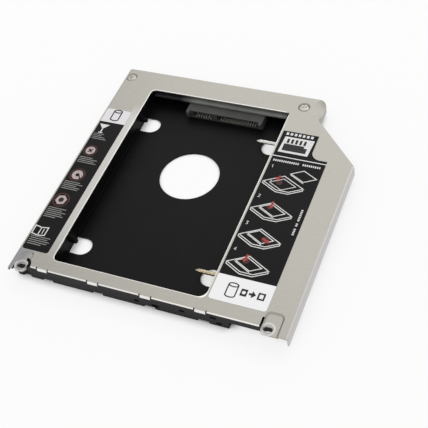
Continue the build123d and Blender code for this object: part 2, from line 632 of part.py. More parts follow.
def cover_screws():
    """The two screws that hold the cover at the rear."""
    seat = HEIGHT - DIMPLE_DEPTH
    model = screw(COVER_HEAD_RADIUS, COVER_HEAD_HEIGHT, COVER_SHANK_LENGTH, COVER_CROSS)
    model = chamfer(model.edges().filter_by(GeomType.CIRCLE).sort_by(Axis.Z)[-1], COVER_HEAD_BEVEL)
    return [Pos(x, y, seat) * model for x, y in COVER_SCREW_PLACES]


def board_screws():
    """The two screws that hold the board on its posts."""
    model = screw(BOARD_HEAD_RADIUS, BOARD_HEAD_HEIGHT, BOARD_SHANK_LENGTH, PIN_CROSS)
    return [Pos(x, y, BOARD_TOP) * model for x, y in BOARD_SCREW_PLACES]


def retaining_screw(y):
    """Pointed screw that reaches into the bay from the right."""
    shank_start = PIN_TIP_X + PIN_CONE
    cone = Cone(PIN_TIP_RADIUS, PIN_RADIUS, PIN_CONE, align=(Align.CENTER, Align.CENTER, Align.MIN))
    body = Pos(PIN_TIP_X, 0, 0) * (Rot(0, 90, 0) * cone)
    body += rod_along_x(PIN_RADIUS, (shank_start, BODY_RIGHT), 0, 0)
    body += rod_along_x(PIN_HEAD_RADIUS, (BODY_RIGHT, BODY_RIGHT + PIN_HEAD_HEIGHT), 0, 0)
    recess = Pos(BODY_RIGHT, 0, 0) * (Rot(0, 90, 0) * cross_recess(PIN_CROSS, PIN_HEAD_HEIGHT))
    return Pos(0, y, PIN_HEIGHT) * (body - recess)


def retaining_nut(y):
    """Square nut trapped in the tray, in which a retaining screw turns."""
    half = NUT_SIDE / 2
    nut = block((NUT_X, NUT_X + NUT_THICKNESS), (y - half, y + half), (PIN_HEIGHT - half, PIN_HEIGHT + half))
    hole = (NUT_X - OVERRUN, NUT_X + NUT_THICKNESS + OVERRUN)
    return nut - rod_along_x(PIN_RADIUS + PIN_FIT, hole, y, PIN_HEIGHT)


def row_places(centre, count, pitch):
    """Evenly spaced places about a centre."""
    return [centre + (index - (count - 1) / 2) * pitch for index in range(count)]


def drive_contact_rows():
    """Places of all contacts of the receptacle, in one list."""
    data = row_places(DATA_X, DATA_COUNT, CONTACT_PITCH)
    return data + row_places(POWER_X, POWER_COUNT, CONTACT_PITCH)


def drive_contact(x):
    """One contact blade of the receptacle with its upright solder tail."""
    half = CONTACT_WIDTH / 2
    low = MOUTH_BOTTOM - CONTACT_THICKNESS
    tail = DRIVE_CONNECTOR_REAR + TAIL_GAP
    front = DRIVE_CONNECTOR_FRONT + FRONT_LIP + CONTACT_CLEARANCE
    blade = block((x - half, x + half), (front, tail + CONTACT_THICKNESS), (low, MOUTH_BOTTOM))
    return blade + block((x - half, x + half), (tail, tail + CONTACT_THICKNESS), (low, BOARD_UNDERSIDE))


def data_contacts():
    """Signal contacts of the receptacle."""
    return [drive_contact(x) for x in row_places(DATA_X, DATA_COUNT, CONTACT_PITCH)]


def power_contacts():
    """Power contacts of the receptacle."""
    return [drive_contact(x) for x in row_places(POWER_X, POWER_COUNT, CONTACT_PITCH)]


def horn(side):
    """Guide horn at one end of the receptacle, tapered to lead the drive in."""
    outer = DRIVE_CONNECTOR_X + side * DRIVE_CONNECTOR_WIDTH / 2
    x_range = sorted((outer, outer - side * HORN_WIDTH))
    form = block(x_range, (DRIVE_CONNECTOR_FRONT - HORN_REACH, DRIVE_CONNECTOR_FRONT + OVERRUN),
                 (CONNECTOR_TOP - HORN_HEIGHT, CONNECTOR_TOP))
    return chamfer(form.faces().sort_by(Axis.Y)[0].edges(), HORN_CHAMFER)


def drive_connector_housing():
    """Moulded receptacle: body, guide horns, keyed mouths and a groove for each contact."""
    half = DRIVE_CONNECTOR_WIDTH / 2
    body = block((DRIVE_CONNECTOR_X - half, DRIVE_CONNECTOR_X + half),
                 (DRIVE_CONNECTOR_FRONT, DRIVE_CONNECTOR_REAR),
                 (CONNECTOR_BOTTOM, CONNECTOR_TOP))
    body += [horn(-1), horn(1)]
    mouth_y = (DRIVE_CONNECTOR_FRONT - OVERRUN, DRIVE_CONNECTOR_FRONT + MOUTH_DEPTH)
    for centre, width in ((DATA_X, DATA_TONGUE), (POWER_X, POWER_TONGUE)):
        body -= block((centre - width / 2, centre + width / 2), mouth_y,
                      (MOUTH_BOTTOM, MOUTH_BOTTOM + MOUTH_HEIGHT))
    groove_half = CONTACT_WIDTH / 2 + CONTACT_CLEARANCE
    groove_front = DRIVE_CONNECTOR_FRONT + FRONT_LIP
    for x in drive_contact_rows():
        body -= block((x - groove_half, x + groove_half), (groove_front, DRIVE_CONNECTOR_REAR + OVERRUN),
                      (MOUTH_BOTTOM - CONTACT_THICKNESS, MOUTH_BOTTOM))
    return body


def hold_downs(centre, width, y):
    """Pair of metal clips against the ends of a connector, soldered under the board."""
    clips = []
    for side in (-1, 1):
        face = centre + side * width / 2
        x_range = sorted((face, face + side * CLIP_THICKNESS))
        clips.append(block(x_range, (y, y + CLIP_LENGTH), (BOARD_UNDERSIDE - CLIP_HEIGHT, BOARD_UNDERSIDE)))
    return clips


def drive_connector_hold_downs():
    """Clips of the receptacle."""
    return hold_downs(DRIVE_CONNECTOR_X, DRIVE_CONNECTOR_WIDTH, DRIVE_CONNECTOR_REAR - CLIP_LENGTH)


def host_connector_hold_downs():
    """Clips of the rear plug."""
    return hold_downs(HOST_X, HOST_WIDTH, HOST_FRONT + CLIP_THICKNESS)


def host_connector_housing():
    """Rear plug: shell with a mouth towards the rear and two contact tongues in it."""
    half = HOST_WIDTH / 2
    body = block((HOST_X - half, HOST_X + half), (HOST_FRONT, DEPTH),
                 (CONNECTOR_BOTTOM, CONNECTOR_TOP))
    mouth_front = DEPTH - HOST_MOUTH_DEPTH
    mouth_half = HOST_MOUTH_HEIGHT / 2
    body -= block((HOST_X - HOST_MOUTH_WIDTH / 2, HOST_X + HOST_MOUTH_WIDTH / 2),
                  (mouth_front, DEPTH + OVERRUN),
                  (HOST_MOUTH_Z - mouth_half, HOST_MOUTH_Z + mouth_half))
    tongue_half = HOST_TONGUE_THICKNESS / 2
    tongue_y = (mouth_front - OVERRUN, mouth_front + HOST_TONGUE_LENGTH)
    for centre, width in ((HOST_DATA_X, HOST_DATA_WIDTH), (HOST_POWER_X, HOST_POWER_WIDTH)):
        body += block((centre - width / 2, centre + width / 2), tongue_y,
                      (HOST_MOUTH_Z - tongue_half, HOST_MOUTH_Z + tongue_half))
    top = HOST_MOUTH_Z + tongue_half
    groove_half = CONTACT_WIDTH / 2 + CONTACT_CLEARANCE
    groove_y = (HOST_FRONT - OVERRUN, mouth_front + CONTACT_CLEARANCE)
    for x in host_contact_rows():
        body -= block((x - groove_half, x + groove_half), groove_y, (top, top + HOST_CONTACT_THICKNESS))
    return body


def host_contact_rows():
    """Places of all contacts of the rear plug, in one list."""
    data = row_places(HOST_DATA_X, HOST_DATA_COUNT, CONTACT_PITCH)
    return data + row_places(HOST_POWER_X, HOST_POWER_COUNT, HOST_POWER_PITCH)


def host_contact(x):
    """One flat contact of the rear plug with its upright solder tail."""
    x_range = (x - CONTACT_WIDTH / 2, x + CONTACT_WIDTH / 2)
    low = HOST_MOUTH_Z + HOST_TONGUE_THICKNESS / 2
    tail = HOST_FRONT - TAIL_GAP
    reach = DEPTH - HOST_MOUTH_DEPTH + HOST_TONGUE_LENGTH - FRONT_LIP
    blade = block(x_range, (tail - CONTACT_THICKNESS, reach), (low, low + HOST_CONTACT_THICKNESS))
    return blade + block(x_range, (tail - CONTACT_THICKNESS, tail), (low, BOARD_UNDERSIDE))


def host_data_contacts():
    """Signal contacts of the rear plug."""
    return [host_contact(x) for x in row_places(HOST_DATA_X, HOST_DATA_COUNT, CONTACT_PITCH)]


def host_power_contacts():
    """Power contacts of the rear plug."""
    return [host_contact(x) for x in row_places(HOST_POWER_X, HOST_POWER_COUNT, HOST_POWER_PITCH)]


def adapter_board():
    """Circuit board that carries both connectors under it."""
    board = block((BOARD_LEFT, BOARD_LEFT + BOARD_WIDTH), (BOARD_FRONT, BOARD_FRONT + BOARD_LENGTH),
                  (BOARD_UNDERSIDE, BOARD_TOP))
    for x, y in BOARD_SCREW_PLACES:
        board -= rod(SHANK_RADIUS + SCREW_FIT, x, y, (0, HEIGHT))
    return board


def chips(size, drive_side, host_side):
    """Small surface parts on the board's upper face, placed from the connector they serve."""
    places = [(DRIVE_CONNECTOR_X + x, y) for x, y in drive_side] + [(HOST_X + x, y) for x, y in host_side]
    return [Pos(x, BOARD_FRONT + y, BOARD_TOP) * Box(*size, align=MINIMUM) for x, y in places]


def left_label():
    """Printed label along the left side of the cover."""
    length = DEPTH - LEFT_LABEL_SETBACK - LEFT_LABEL_FRONT
    plan = RectangleRounded(LEFT_LABEL_WIDTH, length, LABEL_RADIUS)
    middle = Pos(LEFT_LABEL_INSET + LEFT_LABEL_WIDTH / 2, LEFT_LABEL_FRONT + length / 2, HEIGHT)
    return middle * extrude(plan, LABEL_THICKNESS)


def right_label():
    """Printed label along the right side, with a narrower head that flares into it."""
    flare_x = RIGHT_LABEL_NECK_X + RIGHT_LABEL_FLARE
    flare_y = RIGHT_LABEL_SHOULDER + RIGHT_LABEL_FLARE
    outline = Polyline((flare_x, RIGHT_LABEL_SHOULDER), (RIGHT_LABEL_RIGHT, RIGHT_LABEL_SHOULDER),
                       (RIGHT_LABEL_RIGHT, RIGHT_LABEL_FRONT), (RIGHT_LABEL_LEFT, RIGHT_LABEL_FRONT),
                       (RIGHT_LABEL_LEFT, RIGHT_LABEL_REAR), (RIGHT_LABEL_NECK_X, RIGHT_LABEL_REAR),
                       (RIGHT_LABEL_NECK_X, flare_y))
    bend = RIGHT_LABEL_FLARE * (1 - math.sqrt(0.5))
    outline += ThreePointArc((RIGHT_LABEL_NECK_X, flare_y),
                             (RIGHT_LABEL_NECK_X + bend, RIGHT_LABEL_SHOULDER + bend),
                             (flare_x, RIGHT_LABEL_SHOULDER))
    plan = make_face(outline)
    for x, y in ((RIGHT_LABEL_RIGHT, RIGHT_LABEL_FRONT), (RIGHT_LABEL_LEFT, RIGHT_LABEL_FRONT)):
        plan = round_corner(plan, x, y, LABEL_RADIUS)
    return Pos(0, 0, HEIGHT) * extrude(plan, LABEL_THICKNESS)


def all_nodes():
    """Every node's name with its solid or its group of solids."""
    front_y, rear_y = HOLE_ROWS
    return {
        "top_cover": top_cover(),
        "base_tray": base_tray(),
        "cover_screws": cover_screws(),
        "retaining_screw_front": retaining_screw(front_y),
        "retaining_screw_rear": retaining_screw(rear_y),
        "retaining_nut_front": retaining_nut(front_y),
        "retaining_nut_rear": retaining_nut(rear_y),
        "adapter_board": adapter_board(),
        "board_screws": board_screws(),
        "drive_connector_housing": drive_connector_housing(),
        "data_contacts": data_contacts(),
        "power_contacts": power_contacts(),
        "drive_connector_hold_downs": drive_connector_hold_downs(),
        "host_connector_housing": host_connector_housing(),
        "host_data_contacts": host_data_contacts(),
        "host_power_contacts": host_power_contacts(),
        "host_connector_hold_downs": host_connector_hold_downs(),
        "board_capacitors": chips(CAPACITOR, DRIVE_SIDE_CAPACITORS, HOST_SIDE_CAPACITORS),
        "board_resistors": chips(RESISTOR, DRIVE_SIDE_RESISTORS, HOST_SIDE_RESISTORS),
        "left_label": left_label(),
        "right_label": right_label(),
    }


os.makedirs("parts", exist_ok=True)
for name, shape in all_nodes().items():
    if isinstance(shape, list):
        shape = Compound(children=shape)
    export_step(DATUM * shape, f"parts/{name}.step")
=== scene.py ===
"""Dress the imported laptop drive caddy: finishes, printed labels, screws and a plain studio.

Sizes in the classes are millimetres on the caddy's drawing: x from its left edge, y from the
cover's front edge towards the rear, z up from the underside. Datum turns them into the frame.
"""

from __future__ import annotations

import logging
import math
from dataclasses import dataclass, field
from enum import Enum
from functools import cached_property
from typing import ClassVar

import bmesh
import bpy
import numpy as np
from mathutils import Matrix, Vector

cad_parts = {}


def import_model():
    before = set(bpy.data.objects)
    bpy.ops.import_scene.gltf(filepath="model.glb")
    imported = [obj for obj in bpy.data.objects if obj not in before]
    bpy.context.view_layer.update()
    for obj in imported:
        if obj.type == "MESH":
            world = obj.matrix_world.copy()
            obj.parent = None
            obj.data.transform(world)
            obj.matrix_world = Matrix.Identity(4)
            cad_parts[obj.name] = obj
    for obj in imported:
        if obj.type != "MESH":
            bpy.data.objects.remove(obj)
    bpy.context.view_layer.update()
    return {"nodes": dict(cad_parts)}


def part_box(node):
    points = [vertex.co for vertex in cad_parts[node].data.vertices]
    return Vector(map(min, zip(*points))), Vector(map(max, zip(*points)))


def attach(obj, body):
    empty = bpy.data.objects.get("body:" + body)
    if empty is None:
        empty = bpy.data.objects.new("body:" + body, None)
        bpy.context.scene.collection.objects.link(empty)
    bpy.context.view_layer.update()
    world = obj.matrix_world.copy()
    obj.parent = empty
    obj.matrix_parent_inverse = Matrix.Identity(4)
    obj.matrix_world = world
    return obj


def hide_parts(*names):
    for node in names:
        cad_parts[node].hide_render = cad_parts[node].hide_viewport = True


MM = 0.001
LOG = logging.getLogger("caddy")

Place = tuple[float, float]
Span = tuple[float, float]
Point = tuple[float, float, float]
Colour = tuple[float, float, float, float]
Outline = np.ndarray | tuple[Place, ...]
Faces = list[tuple[int, ...]]
Inputs = dict[str | int, object]
Socket = bpy.types.NodeSocket
Material = bpy.types.Material

# Sockets of a Mix node that mixes colours
MIX_BELOW, MIX_ABOVE, MIX_RESULT = 6, 7, 2


def linear(code: str) -> Colour:
    """Turn an sRGB hex code into linear red, green, blue and alpha.

    Args:
        code: Six hex digits after a hash sign.

    Returns:
        The linear colour with an alpha of 1.
    """
    parts = [int(code[at:at + 2], 16) / 255 for at in (1, 3, 5)]
    red, green, blue = [p / 12.92 if p <= 0.04045 else ((p + 0.055) / 1.055) ** 2.4 for p in parts]
    return red, green, blue, 1.0


WHITE_LIGHT = linear("#ffffff")


@dataclass(frozen=True)
class Datum:
    """Where the drawing's corner lies in the frame, in metres."""

    left: float
    front: float
    underside: float

    @classmethod
    def from_frame(cls, ear_reach: float = 2.7) -> Datum:
        """Read the corner from the cover's and the tray's boxes.

        Args:
            ear_reach: How far the ears stand before the cover's front edge.

        Returns:
            The corner's place.
        """
        cover_low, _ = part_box("top_cover")
        tray_low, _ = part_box("base_tray")
        return cls(cover_low.x, cover_low.y + ear_reach * MM, tray_low.z)

    def to_frame(self, points: np.ndarray) -> np.ndarray:
        """Scale rows of drawing millimetres to metres and add the corner's place."""
        return np.asarray(points, float) * MM + np.array([self.left, self.front, self.underside])


@dataclass(frozen=True)
class Band:
    """Stretch of the drawing along one axis, with soft ends."""

    low: float
    high: float
    soft: float = 0.15


@dataclass
class Shading:
    """Nodes of one material or world, with the drawing's corner and the colour laid so far."""

    tree: bpy.types.NodeTree
    datum: Datum
    colour: Socket | None = None

    @classmethod
    def of(cls, owner: Material | bpy.types.World, datum: Datum) -> Shading:
        """Start the nodes of a material or world afresh.

        Args:
            owner: The material or world.
            datum: Place of the drawing in the frame.

        Returns:
            Its shading, without a node.
        """
        owner.use_nodes = True
        owner.node_tree.nodes.clear()
        return cls(owner.node_tree, datum)

    def add(self, kind: str, inputs: Inputs | None = None, **settings: object) -> bpy.types.NodeOutputs:
        """Add a node with its settings, values and links.

        Args:
            kind: Blender's name of the node type.
            inputs: Value or output socket for each input, by its name or number.
            settings: Attributes set on the node itself.

        Returns:
            The new node's outputs.
        """
        node = self.tree.nodes.new(kind)
        for name, value in settings.items():
            setattr(node, name, value)
        for name, value in (inputs or {}).items():
            if isinstance(value, Socket):
                self.tree.links.new(value, node.inputs[name])
            else:
                node.inputs[name].default_value = value
        return node.outputs

    @cached_property
    def place(self) -> Socket:
        """Place on the object, in metres."""
        return self.add("ShaderNodeTexCoord")["Object"]

    @cached_property
    def axes(self) -> bpy.types.NodeOutputs:
        """The place's X, Y and Z."""
        return self.add("ShaderNodeSeparateXYZ", {"Vector": self.place})

    def noise(self, size_mm: float | Point, turn_deg: float = 0.0, detail: float = 2.0) -> Socket:
        """Noise fixed to the object.

        Args:
            size_mm: Size of one grain, for all axes or for each.
            turn_deg: Turn of the grain about Z.
            detail: Octaves of the noise.

        Returns:
            The noise factor's socket.
        """
        turned = self.add("ShaderNodeMapping", {
            "Vector": self.place, "Rotation": (0.0, 0.0, math.radians(turn_deg))})
        scaled = self.add("ShaderNodeMapping", {
            "Vector": turned["Vector"], "Scale": tuple(1 / (np.ones(3) * size_mm * MM))})
        return self.add("ShaderNodeTexNoise", {
            "Vector": scaled["Vector"], "Scale": 1.0, "Detail": detail})["Fac"]

    def tones(self, factor: Socket, dark: str, light: str, span: Span = (0.35, 0.65)) -> Socket:
        """Blend from one colour to another over part of a factor's range.

        Args:
            factor: Factor from 0 to 1.
            dark: Hex code below the span.
            light: Hex code above it.
            span: Part of the range over which the colours blend.

        Returns:
            The colour's socket.
        """
        colour = self.add("ShaderNodeValToRGB", {"Fac": factor})["Color"]
        low, high = colour.node.color_ramp.elements
        low.position, high.position = span
        low.color, high.color = linear(dark), linear(light)
        return colour

    def remap(self, value: Socket, span: Span, result: Span) -> Socket:
        """Carry a value linearly from one span to another, and hold it at the ends."""
        return self.add("ShaderNodeMapRange", {
            "Value": value, "From Min": span[0], "From Max": span[1],
            "To Min": result[0], "To Max": result[1]})["Result"]

    def uneven(self, noise: Socket, value: float, spread: Span, middle: Span = (0.3, 0.7)) -> Socket:
        """Let a value fall and rise by a spread with the middle of a noise's range."""
        return self.remap(noise, middle, (value - spread[0], value + spread[1]))

    def product(self, first: Socket, *others: Socket) -> Socket:
        """Multiply factors.

        Args:
            first: First factor.
            others: Further factors, if any.

        Returns:
            The product's socket.
        """
        for other in others:
            first = self.add("ShaderNodeMath", {0: first, 1: other}, operation="MULTIPLY")["Value"]
        return first

    def relief(self, height: Socket, depth_mm: float, strength: float) -> Socket:
        """Give the normal of a surface with a height from 0 to 1 that stands for a depth."""
        return self.add("ShaderNodeBump", {
            "Height": height, "Strength": strength, "Distance": depth_mm * MM})["Normal"]

    def mask(self, band: Band, value: Socket, origin: float = 0.0) -> Socket:
        """One where a value lies in a band, and nought elsewhere.

        It falls linearly while |value - middle| passes half the band's length.

        Args:
            band: The band.
            value: Value in metres.
            origin: Where the drawing's nought lies on that axis, in metres.

        Returns:
            The mask's socket.
        """
        middle, half = (band.low + band.high) / 2, (band.high - band.low) / 2
        offset = self.add("ShaderNodeMath", {0: value, 1: origin + middle * MM}, operation="SUBTRACT")
        away = self.add("ShaderNodeMath", {0: offset["Value"]}, operation="ABSOLUTE")
        return self.remap(away["Value"], ((half - band.soft) * MM, (half + band.soft) * MM), (1.0, 0.0))

    def across(self, band: Band) -> Socket:
        """Mask of a band of x."""
        return self.mask(band, self.axes["X"], self.datum.left)

    def deep(self, band: Band) -> Socket:
        """Mask of a band of y."""
        return self.mask(band, self.axes["Y"], self.datum.front)

    def distance(self, middle: Place, half: Place = (0.0, 0.0)) -> Socket:
        """Distance in metres to a rectangle: |p - middle| less half its size, where more than nought.

        Args:
            middle: The rectangle's middle.
            half: Half its size, nought for a point.

        Returns:
            The distance's socket.
        """
        left, front = self.datum.left + middle[0] * MM, self.datum.front + middle[1] * MM
        steps = (("SUBTRACT", (left, front, 0.0)), ("ABSOLUTE", (0.0, 0.0, 0.0)),
                 ("SUBTRACT", (half[0] * MM, half[1] * MM, 0.0)), ("MAXIMUM", (0.0, 0.0, 0.0)))
        vector = self.add("ShaderNodeCombineXYZ", {"X": self.axes["X"], "Y": self.axes["Y"]})["Vector"]
        for operation, operand in steps:
            vector = self.add("ShaderNodeVectorMath", {0: vector, 1: operand}, operation=operation)["Vector"]
        return self.add("ShaderNodeVectorMath", {0: vector}, operation="LENGTH")["Value"]

    def lay(self, code: str, *masks: Socket) -> None:
        """Lay one more colour over those below it.

        Args:
            code: The colour's hex code.
            masks: Factors whose product is the colour's share.
        """
        self.colour = self.add("ShaderNodeMix", {
            "Factor": self.product(*masks), MIX_BELOW: self.colour, MIX_ABOVE: linear(code)},
            data_type="RGBA")[MIX_RESULT]

    def seen_directly(self) -> Socket:
        """One for camera, glossy and transmission rays, and nought for the rest."""
        path = self.add("ShaderNodeLightPath")
        seen = path["Is Camera Ray"]
        for ray in ("Is Glossy Ray", "Is Transmission Ray"):
            seen = self.add("ShaderNodeMath", {0: seen, 1: path[ray]}, operation="MAXIMUM")["Value"]
        return seen


# Finishes


@dataclass(frozen=True)
class Finish:
    """A material of one principled shader."""

    name: str
    constants: ClassVar[Inputs] = {}

    def dress(self, shades: Shading) -> Inputs:
        """Give the shader's inputs that vary over the surface or from piece to piece."""
        return {}

    def build(self, datum: Datum) -> Material:
        """Make the Blender material.

        Args:
            datum: Place of the drawing in the frame.

        Returns:
            The finished material.
        """
        material = bpy.data.materials.new(self.name)
        shades = Shading.of(material, datum)
        shader = shades.add("ShaderNodeBsdfPrincipled", {**self.constants, **self.dress(shades)})
        shades.add("ShaderNodeOutputMaterial", {"Surface": shader["BSDF"]})
        return material


@dataclass(frozen=True)
class SatinAluminium(Finish):
    """Rolled aluminium sheet, matt-rolled and clear anodised: pale, warm and softly reflecting.

    The rolling grain runs diagonally over the sheet and breaks the highlight into fine lines.
    Painted highlights lighten the sheet along its sides, on rings round the ears, along the
    window's rim, along the front edge and on the tabs, and a painted sheen lightens a strip left
    of the window. Painted shade darkens the sheet at the left ear.
    """

    constants: ClassVar[Inputs] = {"Metallic": 1.0}
    dark: str = "#9c9a93"
    light: str = "#a4a29a"
    roughness: float = 0.34
    roughness_spread: Span = (0.06, 0.06)
    grain_mm: Point = (3.0, 0.4, 0.4)
    grain_turn_deg: float = -38.0
    grain_detail: float = 3.0
    grain_depth_mm: float = 0.006
    grain_strength: float = 0.35
    # Painted sheen: a lighter strip between the left label and the window
    drawn: str = "#b6b4b0"
    painted_sheen_x: Band = Band(14.0, 18.0, 0.3)
    painted_sheen_from_y: Band = Band(16.0, 200.0, 10.0)
    painted_sheen_to_y: Band = Band(-90.0, 98.0, 4.0)
    # Painted shade: the sheet darker round the left ear
    painted_ear_shade: str = "#908f91"
    painted_ear_shade_x: Band = Band(-1.0, 6.0, 2.0)
    painted_ear_shade_y: Band = Band(-4.0, 9.0, 2.0)
    # Painted highlight: lighter along the bends of both sides and on rings round the ears
    painted_bend_highlight: str = "#c2c0bf"
    left_fold_x: Band = Band(-9.0, 0.9, 0.3)
    left_fold_y: Band = Band(22.0, 200.0, 12.0)
    right_fold_x: Band = Band(127.2, 137.0, 0.3)
    ear_places: tuple[Place, ...] = ((5.6, 0.0), (118.7, 0.0))
    ear_ring: Band = Band(2.45, 3.0, 0.2)
    # Painted highlight: lighter along the window's rim and the front edge
    painted_edge_highlight: str = "#dedcd7"
    window_middle: Place = (53.7, 60.0)
    window_half: Place = (35.7, 53.8)
    window_radius: float = 2.4
    rim: Band = Band(-0.5, 0.38)
    front_x: Band = Band(10.4, 115.6)
    lip_y: Band = Band(-1.0, 0.3)
    # Painted highlight: the tabs at the front edge are lightest
    painted_tab_highlight: str = "#eeedea"
    tab_y: Band = Band(-1.0, 0.0)

    def paint_highlights_and_shade(self, shades: Shading) -> None:
        """Lay on the painted highlights, the painted sheen and the painted shade.

        Args:
            shades: The sheet's nodes, with its plain colour.
        """
        across, deep = shades.across, shades.deep
        shades.lay(self.drawn, across(self.painted_sheen_x), deep(self.painted_sheen_from_y), deep(self.painted_sheen_to_y))
        shades.lay(self.painted_ear_shade, across(self.painted_ear_shade_x), deep(self.painted_ear_shade_y))
        shades.lay(self.painted_bend_highlight, across(self.left_fold_x), deep(self.left_fold_y))
        shades.lay(self.painted_bend_highlight, across(self.right_fold_x))
        for place in self.ear_places:
            shades.lay(self.painted_bend_highlight, shades.mask(self.ear_ring, shades.distance(place)))
        straight = tuple(half - self.window_radius for half in self.window_half)
        window = shades.distance(self.window_middle, straight)
        shades.lay(self.painted_edge_highlight, shades.mask(self.rim, window, self.window_radius * MM))
        shades.lay(self.painted_edge_highlight, deep(self.lip_y), across(self.front_x))
        shades.lay(self.painted_tab_highlight, deep(self.tab_y), across(self.front_x))

    def dress(self, shades: Shading) -> Inputs:
        """Add the rolling grain, the painted highlights and the painted shade.

        Args:
            shades: The material's nodes.

        Returns:
            The shader's inputs.
        """
        grain = shades.noise(self.grain_mm, self.grain_turn_deg, self.grain_detail)
        shades.colour = shades.tones(grain, self.dark, self.light)
        self.paint_highlights_and_shade(shades)
        return {"Base Color": shades.colour,
                "Roughness": shades.uneven(grain, self.roughness, self.roughness_spread),
                "Normal": shades.relief(grain, self.grain_depth_mm, self.grain_strength)}


@dataclass(frozen=True)
class MouldedPlastic(Finish):
    """Injection-moulded plastic with a fine spark-eroded grain that dulls its reflections.

    A band across or along one end may have another tone, as painted light: lighter where it faces the light, darker
    where it lies in the dark.
    """

    constants: ClassVar[Inputs] = {"IOR": 1.5}
    dark: str
    light: str
    roughness: float
    specular: float
    grain_mm: float = 0.3
    grain_depth_mm: float = 0.012
    grain_strength: float = 0.4
    roughness_spread: Span = (0.05, 0.05)
    cloud_mm: float = 14.0
    # Painted light: a lighter or darker tone over a band at one end
    painted_light_tone: str = ""
    painted_light_x: Band | None = None
    painted_light_y: Band | None = None

    def dress(self, shades: Shading) -> Inputs:
        """Add the mould's grain, slight clouding and the painted light tone of one end.

        Args:
            shades: The material's nodes.

        Returns:
            The shader's inputs.
        """
        grain = shades.noise(self.grain_mm)
        shades.colour = shades.tones(shades.noise(self.cloud_mm), self.dark, self.light)
        if self.painted_light_x:
            shades.lay(self.painted_light_tone, shades.across(self.painted_light_x))
        if self.painted_light_y:
            shades.lay(self.painted_light_tone, shades.deep(self.painted_light_y))
        return {"Base Color": shades.colour, "Specular IOR Level": self.specular,
                "Roughness": shades.uneven(grain, self.roughness, self.roughness_spread),
                "Normal": shades.relief(grain, self.grain_depth_mm, self.grain_strength)}


@dataclass(frozen=True)
class PlatedMetal(Finish):
    """Barrel-plated or turned small metal part: bright, with a slight haze."""

    constants: ClassVar[Inputs] = {"Metallic": 1.0}
    dark: str
    light: str
    roughness: float
    roughness_spread: Span = (0.05, 0.07)
    haze_mm: float = 0.8
    haze_detail: float = 3.0

    def dress(self, shades: Shading) -> Inputs:
        """Add the haze of the plating."""
        haze = shades.noise(self.haze_mm, detail=self.haze_detail)
        return {"Base Color": shades.tones(haze, self.dark, self.light),
                "Roughness": shades.uneven(haze, self.roughness, self.roughness_spread)}


class Plating(Enum):
    """Metals of the small parts: dark tone, light tone and roughness."""

    # Thin gold over nickel: pale straw, with a soft shine
    GOLD_FLASH = ("#b3ab98", "#dad3c2", 0.3)
    # The same, paler and rougher: painted sheen that lightens the contacts in the shade of the connector's mouth
    PAINTED_SHEEN_GOLD_FLASH = ("#efebe3", "#fbf9f3", 0.6)
    # Tin for soldering: grey and even
    TINNED_CLIP = ("#9d9d9b", "#bdbdba", 0.35)
    # Bare brass: warm yellow
    TURNED_BRASS = ("#a58a4a", "#c0a566", 0.3)
    # Nickel on steel: warm white, from dull to bright
    DULL_NICKEL = ("#a5a39b", "#c3c0b8", 0.3)
    NICKEL_PLATE = ("#b9b6ae", "#d4d1ca", 0.28)
    BRIGHT_NICKEL = ("#bcbab6", "#dcdad7", 0.22)
    # Zinc with a yellow passivate: faintly golden
    YELLOW_PASSIVATE = ("#a5977a", "#cbc0a6", 0.27)

    def finish(self) -> PlatedMetal:
        """Give the finish of this metal."""
        return PlatedMetal(self.name.lower(), *self.value)


@dataclass(frozen=True)
class GlazedChip(Finish):
    """Ceramic or glazed body of a small surface-mounted part: smooth, slightly mottled."""

    constants: ClassVar[Inputs] = {"IOR": 1.55}
    dark: str
    light: str
    roughness: float
    mottle_mm: float = 0.3

    def dress(self, shades: Shading) -> Inputs:
        """Add the mottling of the fired body."""
        mottle = shades.noise(self.mottle_mm)
        return {"Base Color": shades.tones(mottle, self.dark, self.light), "Roughness": self.roughness}


@dataclass(frozen=True)
class PrintedFilm(Finish):
    """Printed and laminated label film: an even satin skin over bands of flat colour."""

    constants: ClassVar[Inputs] = {"IOR": 1.46, "Specular IOR Level": 0.12}
    bands: tuple[tuple[float, str], ...]
    length: float = 110.0
    roughness: float = 0.34
    roughness_spread: Span = (0.05, 0.06)
    press_mm: float = 2.5

    def dress(self, shades: Shading) -> Inputs:
        """Add the bands, each from its own front edge to the next one's.

        Args:
            shades: The material's nodes.

        Returns:
            The shader's inputs.
        """
        front = shades.datum.front
        along = shades.remap(shades.axes["Y"], (front, front + self.length * MM), (0.0, 1.0))
        colour = shades.add("ShaderNodeValToRGB", {"Fac": along})["Color"]
        ramp = colour.node.color_ramp
        ramp.interpolation = "CONSTANT"
        ramp.elements.remove(ramp.elements[1])
        for number, (start, code) in enumerate(self.bands):
            element = ramp.elements[0] if number == 0 else ramp.elements.new(start / self.length)
            element.position, element.color = start / self.length, linear(code)
        press = shades.noise(self.press_mm)
        return {"Base Color": colour, "Roughness": shades.uneven(press, self.roughness, self.roughness_spread)}


@dataclass(frozen=True)
class PrintingInk(Finish):
    """Ink of the line drawings, slightly uneven where the screen has laid it thinner."""

    constants: ClassVar[Inputs] = {"IOR": 1.46, "Specular IOR Level": 0.3, "Roughness": 0.4}
    dark: str
    light: str
    lay_mm: float = 0.6
    lay_detail: float = 3.0
    lay_span: Span = (0.3, 0.5)

    def dress(self, shades: Shading) -> Inputs:
        """Add the ink's unevenness."""
        lay = shades.noise(self.lay_mm, detail=self.lay_detail)
        return {"Base Color": shades.tones(lay, self.dark, self.light, self.lay_span)}


class Ink(Enum):
    """Inks of the two labels, from the lowest to the topmost layer: dark and light tone."""

    DIM_RED = ("#2c1312", "#451f1d")
    WHITE = ("#b9b9b7", "#dededc")
    GREY = ("#63625f", "#8a8986")
    RED = ("#842822", "#a83a33")
    BLUSH = ("#857572", "#b5a7a4")
    DARK = ("#0d0d0f", "#161618")
    PAPER = ("#dcdcdc", "#ececed")

    def finish(self) -> PrintingInk:
        """Give the finish of this ink."""
        return PrintingInk(f"{self.name.lower()}_ink", *self.value)


# Surfaces


